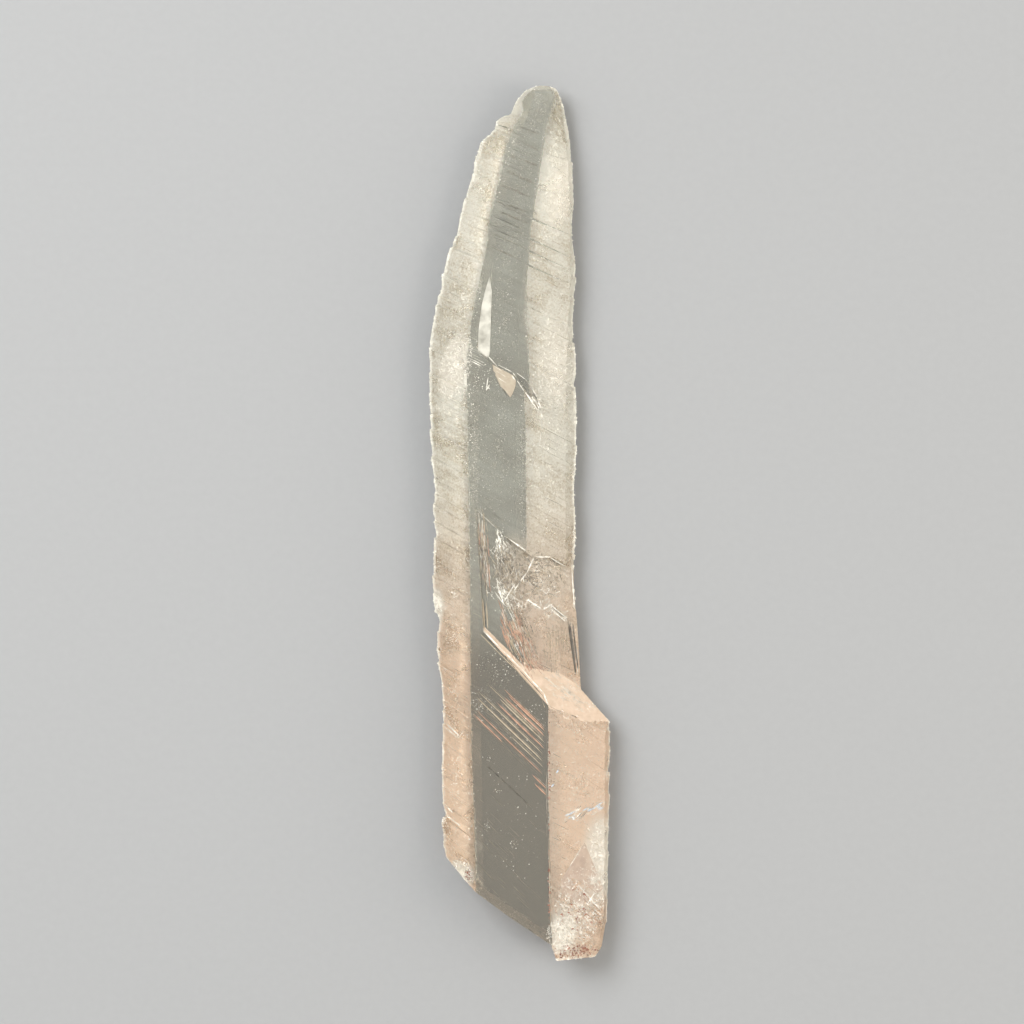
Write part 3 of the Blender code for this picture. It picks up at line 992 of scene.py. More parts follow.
def strokes(chance: random.Random, rows: Iterable[Row]) -> list[Row]:
    """Scatter short strokes over oval areas.

    Args:
        chance: the random draws.
        rows: stroke rows, as the top of this file gives them.

    Returns:
        One sheet row for each stroke.
    """
    sheets = []
    for *oval, count, least, greatest, thin, thick, turn_deg, spread_deg, low, high in (
        row if len(row) == 14 else (*row, *STROKE_DEPTHS) for row in rows
    ):
        area = Patch(*oval)
        for _ in range(count):
            x, y = area.pick(chance)
            way = math.radians(turn_deg + chance.uniform(-spread_deg, spread_deg))
            half = (least + (greatest - least) * chance.random() ** SHORTNESS) / 2
            along, up = half * math.cos(way), half * math.sin(way)
            width, below = chance.uniform(thin, thick), chance.uniform(low, high)
            bow = chance.uniform(-0.1, 0.1) * half
            sheets.append((x - along, y - up, x + along, y + up, width, below, bow))
    return sheets


def chain(
    points: Sequence[Row], width: float, below: float, shift: Pair = (0.0, 0.0)
) -> list[Row]:
    """Join points by sheets that overlap a little.

    Args:
        points: the x and y of each.
        width: of every sheet.
        below: depth of every sheet's upper edge.
        shift: moves the whole chain along X and Y.

    Returns:
        The sheet rows.
    """
    sheets = []
    places = [Vector(point) + Vector(shift) for point in points]
    for start, end in zip(places, places[1:]):
        grow = (end - start) * OVERLAP
        sheets.append((*(start - grow), *(end + grow), width, below))
    return sheets


def ladder(first: Row, step: Row, count: int) -> list[Row]:
    """Repeat one sheet at equal steps.

    Args:
        first: its sheet row.
        step: how far its start moves along X and Y, and how far its end does.
        count: how many sheets there are.

    Returns:
        The sheet rows.
    """
    return [(*(place + k * move for place, move in zip(first, step)), *first[4:]) for k in range(count)]


class Inside:
    """Places things at a depth under the crystal's surface."""

    sky: float = 20.0  # a height above everything
    slack: float = 1.03  # a sheet's own width against the width that shows from the front
    bowed: float = 1.12  # both halves of a bowed sheet are longer by this, so that they overlap
    flake_lean_deg: float = 35.0  # how far a flake may lean from flat
    flake_spread: float = 0.6  # of its direction, in radians
    flake_stretch: float = 1.6  # how much longer than wide it may be
    flake_height: float = 0.25
    plate_thickness: float = 0.06

    def __init__(self, crystal: Piece) -> None:
        """Read the dressed crystal's surface.

        Args:
            crystal: the object that holds everything.
        """
        data = crystal.data
        corners = [vertex.co / MM for vertex in data.vertices]
        self.tree = BVHTree.FromPolygons(corners, [tuple(face.vertices) for face in data.polygons])

    def height(self, x: float, y: float) -> float | None:
        """Give the height of the front surface at a place, or None beside the crystal."""
        hit = self.tree.ray_cast(Vector((x, y, self.sky)), -UP)[0]
        return hit.z if hit else None

    def spindles(self, sheet: Row, thickness: float) -> list[Matrix]:
        """Turn one sheet into the places of its spindles.

        Args:
            sheet: a sheet row.
            thickness: of the open parting itself.

        Returns:
            Matrices that carry a unit sphere to flat spindles; a bowed sheet takes two.
        """
        width, below, bow = sheet[4:] if len(sheet) == 7 else (*sheet[4:], 0.0)
        ends = [Vector(sheet[:2]), Vector(sheet[2:4])]
        if bow:
            across = (ends[1] - ends[0]).orthogonal().normalized()
            ends.insert(1, (ends[0] + ends[1]) / 2 + across * bow)
        reach, lean = width * self.slack, math.asin(1 / self.slack)
        places = []
        for first, last in zip(ends, ends[1:]):
            low, high = self.height(*first), self.height(*last)
            if low is None or high is None:
                LOG.warning("beside the crystal: %s %s", tuple(first), tuple(last))
                continue
            start, end = Vector((*first, low - below)), Vector((*last, high - below))
            length = (end - start).length * (self.bowed if bow else 1.0)
            along = (end - start).normalized()
            side = along.cross(UP).normalized()
            up = side.cross(along)
            down = up * math.cos(lean) + side * math.sin(lean)
            turn = Matrix((along, down.cross(along).normalized(), down)).transposed().to_4x4()
            middle = (start + end) / 2 - up * reach * math.cos(lean) / 2
            size = Matrix.Diagonal((length / 2, thickness / 2, reach / 2, 1.0))
            places.append(Matrix.Translation(middle) @ turn @ size)
        return places

    def sheets(self, name: str, finish: BrokenStone, rows: Sequence[Row], thickness: float = 0.05) -> None:
        """Make one piece of all the partings of one finish.

        Args:
            name: the piece's name.
            finish: what they look like.
            rows: sheet rows, as the top of this file gives them.
            thickness: of the open partings.
        """
        places = [place for row in rows for place in self.spindles(row, thickness)]
        seat(repeated(name, speck_shape(), places, finish.make()), len(rows))

    def flakes(
        self, name: str, finish: BrokenStone, rows: Rows, sizes: Pair,
        depths: Pair, seed: int,
    ) -> None:
        """Make one piece of many small flat flakes in oval areas.

        Args:
            name: the piece's name.
            finish: what they are made of.
            rows: flake rows, as the top of this file gives them.
            sizes: least and greatest radius.
            depths: least and greatest depth under the surface.
            seed: for the random draws.
        """
        chance = random.Random(seed)
        lean = math.radians(self.flake_lean_deg)
        places = []
        for *oval, count in rows:
            patch = Patch(*oval)
            for _ in range(count):
                x, y = patch.pick(chance)
                top = self.height(x, y)
                if top is None:
                    continue
                radius = sizes[0] + (sizes[1] - sizes[0]) * chance.random() ** 2
                way = math.radians(patch.turn_deg) + chance.gauss(0.0, self.flake_spread)
                turn = Matrix.Rotation(way, 4, "Z")
                for axis in "XY":
                    turn = turn @ Matrix.Rotation(chance.uniform(-lean, lean), 4, axis)
                length = radius * chance.uniform(1.0, self.flake_stretch)
                size = Matrix.Diagonal((length, radius, radius * self.flake_height, 1.0))
                places.append(Matrix.Translation((x, y, top - chance.uniform(*depths))) @ turn @ size)
        seat(repeated(name, grain_shape(), places, finish.make()), len(places))

    def plate(
        self, name: str, finish: BrokenStone, outline: Rows, below: float,
        slope: tuple[float, float] | None = None,
    ) -> None:
        """Make one flat parting with an outline.

        Args:
            name: the piece's name.
            finish: what it is made of.
            outline: corners as seen from the front.
            below: depth of its first corner.
            slope: fall in Z per unit towards +X and +Y; without it every corner lies at that depth.
        """
        mesh = bmesh.new()
        first = Vector((*outline[0], self.height(*outline[0]) - below))
        corners = []
        for x, y in outline:
            z = self.height(x, y) - below
            if slope:
                z = first.z - slope[0] * (x - first.x) - slope[1] * (y - first.y)
            corners.append(mesh.verts.new((x, y, z)))
        raised = bmesh.ops.extrude_face_region(mesh, geom=[mesh.faces.new(corners)])["geom"]
        moved = [item for item in raised if isinstance(item, bmesh.types.BMVert)]
        bmesh.ops.translate(mesh, verts=moved, vec=-UP * self.plate_thickness)
        bmesh.ops.triangulate(mesh, faces=mesh.faces)
        bmesh.ops.recalc_face_normals(mesh, faces=mesh.faces)
        seat(finish_mesh(name, mesh, finish.make()), 1)


@dataclass
class Bloom:
    """Crushed white stone: countless tiny flakes on the bruised parts of the etched faces."""

    seed: int = 91
    sizes: Pair = (0.028, 0.07)
    depths: Pair = (-0.06, -0.01)
    patches: Rows = (
        (-6.9, 16.6, 1.7, 3.6, -15, 1500), (8.8, -36.2, 1.3, 4.4, 0, 1500), (4.3, -44.3, 1.5, 2, 0, 1100),
        (-6.5, -37.8, 1.6, 1.5, 0, 800), (-8.9, -9, 0.6, 1.7, 0, 450), (4.3, 35.2, 1.2, 4.6, -8, 900),
        (3.9, 17.2, 2.1, 5, 0, 1400), (6.3, -41, 2.6, 4, 0, 900),
    )

    def build(self, inside: Inside) -> None:
        """Build the flakes as one piece."""
        inside.flakes("white_bloom", BLOOM, self.patches, self.sizes, self.depths, self.seed)


@dataclass
class Specks:
    """Fine pale specks on the strip, and painted glints on the bevels and the facets: single bright flakes.
    """

    strip_sizes: Pair = (0.03, 0.09)
    bevel_sizes: Pair = (0.028, 0.078)
    strip: Rows = (
        (0.4, 39, 1.2, 5.5, -6, 260), (-0.8, 30, 1.6, 6.5, -12, 340), (-1.7, 21, 1.5, 5.5, 0, 260),
        (-2.2, 8, 2.4, 9, 0, 560), (-4.7, 8, 0.4, 9, 0, 260), (0.35, 7, 0.4, 9.5, 0, 300),
        (1.9, 44, 0.9, 2.2, -8, 150),
    )
    bevels: Rows = (
        (-3.6, 36, 1.7, 7, -22, 420), (-6.1, 24, 1.9, 8, -10, 560), (-6.9, 10, 2.2, 10.5, 0, 680),
        (-7, -8, 2, 11.5, 0, 600), (-6.8, -28, 1.9, 12, 0, 460), (3, 36, 1.4, 8.5, -6, 420),
        (3.1, 22, 2.5, 9.5, 0, 700), (3.2, 6, 2.7, 10.5, 0, 740), (6.4, -30, 3.3, 15, 0, 520),
        (-4, 15.4, 0.8, 1.7, 0, 34), (2.1, 12.4, 0.5, 1.6, 20, 10),
    )

    def build(self, inside: Inside) -> None:
        """Build both sets of specks."""
        inside.flakes("strip_specks", SPECK, self.strip, self.strip_sizes, (-0.05, -0.01), 92)
        # pale flakes whose colour is painted glints
        inside.flakes("bevel_sparkle", PAINTED_GLINT, self.bevels, self.bevel_sizes, (-0.07, -0.02), 93)


@dataclass
class UpperFacets:
    """The bright cleavage facet, the step under it, the peach facet and the curved crack."""

    chip: Rows = (
        (-3.7, 24.7), (-3.25, 26.2), (-2.98, 24.6), (-3.2, 18.4), (-3.3, 17.55), (-4.5, 18.3), (-4.4, 20.6),
        (-4.05, 23.2),
    )
    peach: Rows = (
        (-2.92, 16.8), (-2.08, 16.34), (-1.3, 15.94), (-0.68, 15.6), (-0.42, 15.1), (-0.48, 14.4),
        (-0.74, 13.75), (-1, 13.25), (-1.3, 13.62), (-1.66, 14.08), (-2.05, 14.42), (-2.28, 14.93),
        (-2.5, 15.42), (-2.62, 15.6), (-2.58, 15.85), (-2.82, 16.15),
    )
    lens: Rows = (
        (-0.3, 15.85), (0.45, 15.4), (1.3, 14.35), (1.95, 13.15), (2.3, 12.1), (2.28, 11.35), (1.5, 12.7),
        (0.55, 13.8), (-0.3, 15.1),
    )
    edges: Rows = (
        # the rim of the bright facet, and its foot
        (-3.35, 23.5, -2.85, 28, 0.12, 0.1), (-3.05, 24, -3.2, 17.8, 0.08, 0.08),
        (-4.5, 18.25, -3.25, 17.5, 0.13, 0.05), (-3.4, 17.7, -2.3, 16.5, 0.12, -0.01),
        # across the peach facet
        (-2.5, 16.85, -0.7, 15.95, 0.08, -0.01), (-2.85, 16.7, -1.9, 16.1, 0.06, -0.05),
        (-2.6, 16.15, -1.4, 15.4, 0.05, -0.05), (-2.5, 15.5, -1.3, 14.7, 0.05, -0.05),
        (-0.9, 15.65, -0.46, 15.1, 0.12, -0.07), (-0.8, 16, -0.3, 15.3, 0.1, -0.02),
        # round the lens crack, and down the strip's right edge
        (-0.35, 15.9, 1.3, 14.35, 0.1, -0.03, 0.15), (1.2, 14.5, 2.3, 12, 0.11, -0.04, 0.12),
        (-0.3, 15.1, 1.5, 12.75, 0.12, -0.03, -0.1), (0.5, 13.9, 2.3, 11.4, 0.12, -0.03),
        (1.2, 13.4, 2, 12.5, 0.12, -0.03), (1.45, 13.6, 2.1, 12.7, 0.1, 0.03),
        (1.7, 12.9, 2.45, 11.2, 0.1, -0.03), (1.9, 13.1, 2.5, 11.9, 0.08, -0.03),
        (2.1, 12.3, 2.6, 10.9, 0.08, -0.03), (2.28, 12, 2.4, 9.8, 0.08, -0.04),
        (2.4, 9.9, 2.05, 7.9, 0.07, -0.04),
        # small breaks farther down
        (-3.36, 15.6, -3.6, 14, 0.1, -0.03), (-3.2, 14.7, -3.62, 14, 0.15, -0.03),
        (-3.42, 14.4, -3.2, 14.15, 0.12, -0.03), (-2.85, 6.3, -2.66, 5.9, 0.07, 0.1),
        (-2.66, 5.9, -2.4, 6.5, 0.07, 0.1),
    )
    shadows: Rows = (
        # in and under the bright facet
        (-4.9, 18.3, -3.3, 17.2, 0.16, 0.2), (-3, 24.9, -3, 21, 0.08, 0.3),
        (-3.9, 22.5, -3.2, 22.1, 0.1, 0.02), (-4.3, 19.6, -3.2, 19.2, 0.07, 0.02),
        (-4.4, 18.9, -3.2, 18.5, 0.09, 0.02),
        # under the peach facet, and in the lens crack
        (-2.75, 15.6, -1.1, 13.15, 0.16, -0.01), (0.3, 15.1, 1.7, 13.6, 0.3, -0.01),
        (1.4, 13.9, 2.2, 12.3, 0.2, -0.01),
    )

    def build(self, inside: Inside) -> None:
        """Build the facets and the lines round them.

        Args:
            inside: places things in the crystal.
        """
        inside.plate("bright_facet", FACET_WHITE, self.chip, -0.03)
        inside.plate("peach_facet", FACET_PEACH, self.peach, -0.04)
        inside.plate("lens_crack", HOLLOW, self.lens, 0.12, (0.1, -0.05))
        inside.sheets("facet_edges", BRIGHT, self.edges)
        inside.sheets("facet_shadows", SHADE_AND_DARK_SPECKS, self.shadows)


@dataclass
class GrowthLines:
    """Fine lines of growth and cleavage that cross the strip and the bevels."""

    seed: int = 21
    tip_lines: int = 40
    tip_heights: Pair = (30.5, 44.5)
    tip_slope: float = -0.42
    tip_starts: Pair = (-1.2, 0.6)  # from the strip's left edge
    tip_edges: Pair = (-1.6, 2.2)  # the strip lies between them near the tip
    tip_widening: Pair = (36.0, 0.22)  # below this height the strip widens to the left
    tip_lengths: Pair = (1.4, 4.0)
    tip_widths: Pair = (0.04, 0.12)
    tip_depths: Pair = (-0.03, 0.03)
    pale_share: float = 0.5
    bevel_lines: int = 60
    bevel_heights: Pair = (-36.0, 41.0)
    bevel_lengths: Pair = (0.6, 2.6)
    bevel_widths: Pair = (0.02, 0.05)
    bevel_depth: float = -0.01
    bend_from: float = 30.0  # above this height both bevels bend
    left_share: float = 0.6
    # Of each bevel: least and greatest x where a line starts, bend, and slope.
    left_bevel: Row = (-8.6, -5.2, 0.3, -0.55)
    right_bevel: Row = (1.6, 4.4, -0.05, -0.5)
    hatch_lines: int = 10
    hatch_start: Pair = (-6.5, 20.3)
    hatch_step: Pair = (0.12, -0.34)
    hatch_swing: float = 0.15
    hatch_slope: float = -0.5
    hatch_lengths: Pair = (1.2, 2.1)
    hatch_widths: Pair = (0.06, 0.12)
    hatch_depth: float = -0.03
    gap_lines: int = 9
    first_gap: Row = (-7.5, 20.6, -5, 19.3, 0.05, -0.03)
    gap_step: Row = (0.1, -0.36, 0.05, -0.36)
    strip: Rows = (
        # cleavages along the strip and across it
        (-5.2, 3, -0.7, -0.9, 0.07, 0.1), (-5, 2.6, -1.2, -0.8, 0.05, 0.12), (-3.3, 8, -0.5, 5, 0.05, 0.1),
        (-3, 8.1, -0.4, 5.4, 0.04, 0.15), (-0.45, 14, -0.45, 3, 0.06, 0.1), (-0.5, 4, -0.45, -2, 0.06, 0.1),
        (0.45, 12, 0.5, -1.5, 0.07, 0.05), (-0.2, 24, -0.1, 16.5, 0.05, 0.1),
        # growth steps near the tip
        (-2.95, 34.15, 1.4, 32.45, 0.13, -0.04), (-3.1, 32.15, 1.3, 30.35, 0.12, -0.04),
        (-3.2, 30.95, 1.15, 29, 0.11, -0.04), (-3.45, 29.65, 0.6, 27.75, 0.1, -0.04),
    )
    dotted_slant_deg: float = -21.0
    dotted_bands: Rows = (
        # middle, half length and half thickness, count
        (-0.5, 33.5, 2.1, 0.26, 70), (-0.5, 32.5, 2, 0.13, 40), (-0.3, 35.3, 1.9, 0.12, 30),
        (0, 36.9, 1.8, 0.2, 40), (0.5, 38.6, 1.6, 0.14, 30), (0.8, 40.3, 1.4, 0.2, 34),
        (1.1, 41.9, 1.1, 0.16, 24), (-1.2, 28.6, 1.8, 0.12, 18),
    )

    def tip(self, chance: random.Random) -> tuple[list[Row], list[Row]]:
        """Lay the lines across the strip near the tip.

        Args:
            chance: the random draws.

        Returns:
            The pale and the dark sheet rows.
        """
        pale, dark = [], []
        for _ in range(self.tip_lines):
            y = chance.uniform(*self.tip_heights)
            widening = max(0.0, self.tip_widening[0] - y) * self.tip_widening[1]
            left = self.tip_edges[0] + chance.uniform(*self.tip_starts) - widening
            right = min(self.tip_edges[1], left + chance.uniform(*self.tip_lengths))
            target = pale if chance.random() < self.pale_share else dark
            width, below = chance.uniform(*self.tip_widths), chance.uniform(*self.tip_depths)
            target.append((left, y, right, y + self.tip_slope * (right - left), width, below))
        return pale, dark

    def bevels(self, chance: random.Random) -> list[Row]:
        """Lay slanting lines on the two bevels.

        Args:
            chance: the random draws.

        Returns:
            The sheet rows.
        """
        lines = []
        for _ in range(self.bevel_lines):
            y = chance.uniform(*self.bevel_heights)
            bevel = self.left_bevel if chance.random() < self.left_share else self.right_bevel
            least, greatest, bend, slope = bevel
            start = chance.uniform(least, greatest) + max(0.0, y - self.bend_from) * bend
            span, width = chance.uniform(*self.bevel_lengths), chance.uniform(*self.bevel_widths)
            lines.append((start, y, start + span, y + slope * span, width, self.bevel_depth))
        return lines

    def build(self, inside: Inside) -> None:
        """Build the growth lines.

        Args:
            inside: places things in the crystal.
        """
        chance = random.Random(self.seed)
        pale, dark = self.tip(chance)
        hatch = []
        for k in range(self.hatch_lines):
            x, y = (start + step * k for start, step in zip(self.hatch_start, self.hatch_step))
            x += chance.uniform(-self.hatch_swing, self.hatch_swing)
            span, width = chance.uniform(*self.hatch_lengths), chance.uniform(*self.hatch_widths)
            hatch.append((x, y, x + span, y + self.hatch_slope * span, width, self.hatch_depth))
        slant = self.dotted_slant_deg
        bands = strokes(
            chance,
            ((*oval, slant, count, 0.15, 0.6, 0.03, 0.07, slant, 12) for *oval, count in self.dotted_bands),
        )
        gaps = ladder(self.first_gap, self.gap_step, self.gap_lines)
        inside.sheets("growth_lines", CREAM, self.bevels(chance), 0.04)
        inside.sheets("strip_lines", LINE, [*pale, *self.strip], 0.04)
        inside.sheets("growth_gaps", DARK, gaps + self.bevels(chance), 0.03)
        inside.sheets("edge_hatch", BRIGHT, hatch, 0.04)
        inside.sheets("growth_shadows", SHADE_AND_DARK_SPECKS, dark, 0.04)
        inside.sheets("dotted_bands", DARK, bands, 0.03)


@dataclass
class Notch:
    """The broken notch under the strip: its rim crack, sparkle, twin bars, fan and worn wall."""

    seed: int = 33
    rim: Rows = (
        (-4.5, 1.2), (-2.45, -0.8), (-0.95, -2), (0.55, -3.05), (1.85, -3.8), (3.15, -3.8), (4.85, -4.8),
        (5.6, -5),
    )
    branch: Rows = (
        (1.5, -3.9), (0.8, -5.4), (-0.75, -7.6),
    )
    ridge: Rows = (
        (-3.75, -11.6), (-1.8, -13.6), (0.15, -15.5), (1.5, -17), (2.7, -18.3), (3.1, -19.4),
    )
    teeth: int = 9  # of the zigzag break
    first_tooth: Row = (3.1, -8.75, 3.3, -9.3, 0.07, -0.03)
    tooth_step: Row = (0.22, -0.18, 0.22, -0.18)
    # Areas that several sets of strokes share.
    left_wall: Row = (-3.8, -3.4, 0.55, 4.2, 5)
    shards: Row = (-1.6, -4.6, 1.5, 3.4, 12)
    ledge: Row = (5.2, -18.3, 3.4, 1.3, -36)
    cracks: Rows = (
        (0.55, -8.2, 2.5, -9.5, 0.16, -0.03), (2.4, -9.5, 3.6, -8.8, 0.14, -0.03),
        (3.1, -8.8, 5.2, -10.5, 0.12, -0.03), (3.1, -9.2, 5.1, -10.9, 0.1, -0.03),
        (5.6, -5, 5.9, -9.5, 0.12, -0.02), (5.9, -9.5, 6.3, -17, 0.14, -0.02),
        (-2.5, -6.6, -1.75, -8.7, 0.16, -0.04), (-1.75, -8.7, -0.5, -6.6, 0.12, -0.04),
        (-2.75, -7.4, -1.6, -9, 0.1, -0.04), (0.8, -5.4, 0, -6.5, 0.1, -0.12),
        (0, -6.5, -0.75, -7.6, 0.09, -0.12),
    )
    crack_strokes: Rows = (
        (-2.15, -2.1, 1.25, 0.45, 100, 36, 0.25, 0.8, 0.06, 0.13, 100, 12),
        (*left_wall, 22, 0.8, 3.2, 0.03, 0.06, 94, 3), (*shards, 70, 0.2, 0.9, 0.03, 0.07, 95, 45),
        (-1.7, -7.6, 1.9, 1.3, -20, 40, 0.2, 0.8, 0.03, 0.08, 120, 70),
        (-1.8, -7.9, 1.1, 0.5, 110, 26, 0.2, 0.7, 0.05, 0.11, 105, 35),
        (2.4, -6.2, 2.8, 2.5, 0, 70, 0.2, 0.9, 0.03, 0.08, 0, 90),
        (3.2, -9.3, 2.2, 0.9, -30, 46, 0.2, 0.7, 0.03, 0.07, 60, 50),
        (-0.6, -8.2, 2.4, 0.9, -38, 44, 0.2, 0.8, 0.03, 0.08, 110, 60),
        (-0.1, -12.5, 3.7, 1.2, 113, 34, 0.5, 2, 0.03, 0.055, 113, 9),
        (*ledge, 90, 0.3, 1.3, 0.025, 0.05, -38, 20, -0.08, -0.03),
    )
    bars: Rows = (
        (-4, -7.9, -3.75, -11.7, 0.2, 0), (-3.6, -8.2, -3.4, -11.7, 0.14, 0),
        (-4.45, 0.9, -3.6, -7.5, 0.14, 0.05), (-4.2, -2, -3.7, -7.8, 0.08, 0.1),
    )
    grain_strokes: Rows = (
        (1.4, -5.8, 3.4, 2.8, 0, 130, 0.3, 1.2, 0.03, 0.08, 0, 90),
        (3.9, -13, 1.4, 3.3, 0, 90, 0.4, 1.5, 0.03, 0.055, 92, 6),
        (-0.2, -12.4, 3.9, 1.3, 113, 90, 0.8, 2.4, 0.05, 0.1, 113, 9),
        (*left_wall, 40, 0.8, 3.4, 0.04, 0.09, 94, 3), (*shards, 60, 0.3, 1.1, 0.03, 0.08, 95, 35),
    )
    fan_strokes: Rows = (
        (-0.2, -12.6, 3.9, 1.3, 113, 110, 0.7, 2.4, 0.05, 0.12, 113, 9),
        (1.7, -15.3, 1, 0.8, 0, 22, 0.6, 1.6, 0.05, 0.1, 112, 26),
        (*left_wall, 24, 0.8, 3, 0.04, 0.09, 94, 3),
    )
    shadows: Rows = (
        (-4.2, 0.6, -3.3, -7.6, 0.24, 0.3), (-3.7, -0.6, -3, -7.4, 0.2, 0.35),
        (0.2, -11.5, 1.6, -14, 0.3, 0.1), (-0.6, -13.2, 0.8, -14.8, 0.2, 0.1),
    )
    gaps: Rows = (
        (3.3, -9, 4.9, -10.4, 0.12, -0.04), (0.35, -3.7, 1.25, -4.35, 0.3, -0.04),
        (-2.05, -6.6, -1.65, -7.3, 0.2, -0.03),
    )
    gap_strokes: Rows = (
        (1, -6, 3.7, 2.8, 0, 125, 0.25, 1, 0.03, 0.09, 0, 90),
        (0.2, -12.2, 3.4, 1.1, 113, 50, 0.4, 1.4, 0.04, 0.09, 113, 12),
        (*left_wall, 34, 0.8, 3, 0.04, 0.1, 94, 3), (*shards, 80, 0.3, 1.2, 0.03, 0.1, 95, 35),
    )
    deep_gaps: Rows = (
        (5.3, -10.4, 6.1, -16.9, 0.34, -0.05), (5.65, -10.6, 6.35, -16.4, 0.2, -0.05),
        (5.15, -10.4, 5.6, -14, 0.1, -0.05), (-3.85, -8, -3.6, -11.5, 0.07, -0.03),
        (0.9, -15.25, 1.6, -15.75, 0.24, -0.05),
    )
    deep_strokes: Rows = (
        (1, -6, 3.6, 2.7, 0, 60, 0.2, 0.7, 0.03, 0.08, 0, 90),
        (*left_wall, 18, 0.6, 2.6, 0.04, 0.08, 94, 3), (*shards, 44, 0.2, 0.9, 0.03, 0.08, 95, 40),
        (0.6, -12.4, 3, 1, 113, 20, 0.4, 1.1, 0.05, 0.12, 113, 10),
    )
    sparkle: Rows = (
        (-2.1, -2.4, 0.5, 1.6, -12, 50), (-1.9, -7.2, 0.45, 1.6, 30, 50), (2.7, -7.1, 1.2, 1.1, 0, 70),
        (1.9, -9, 1.5, 0.4, -25, 80), (2.6, -6.2, 2.8, 2.6, 0, 130), (0, -9.4, 1.6, 1, -35, 70),
    )

    def build(self, inside: Inside) -> None:
        """Build the notch's features.

        Args:
            inside: places things in the crystal.
        """
        chance = random.Random(self.seed)
        bright = [
            *chain(self.rim[2:], 0.15, -0.04),
            *chain(self.branch, 0.12, -0.05),
            *chain(self.rim[:3], 0.07, 0.0),
            *chain(self.ridge, 0.16, -0.04, (-0.12, -0.1)),
            *self.cracks,
            *ladder(self.first_tooth, self.tooth_step, self.teeth),
        ]
        cream = [*self.bars, *chain(self.ridge, 0.12, -0.03, (-0.42, -0.46))]
        deep = [*self.deep_gaps, *chain(self.ridge, 0.09, -0.04, (-0.27, -0.28))]
        for name, finish, fixed, scattered, thickness in (
            ("notch_cracks", BRIGHT, bright, self.crack_strokes, 0.05),
            ("notch_grain", CREAM, cream, self.grain_strokes, 0.05),
            ("notch_fan", PEACH, (), self.fan_strokes, 0.05),
            ("notch_shadows", SHADE_AND_DARK_SPECKS, self.shadows, (), 0.05),
            ("notch_dark_gaps", DARK, self.gaps, self.gap_strokes, 0.04),
            ("notch_deep_gaps", DEEP, deep, self.deep_strokes, 0.04),
        ):
            inside.sheets(name, finish, [*fixed, *strokes(chance, scattered)], thickness)
        inside.flakes("notch_sparkle", BRIGHT, self.sparkle, (0.025, 0.08), (-0.03, 0.02), 34)


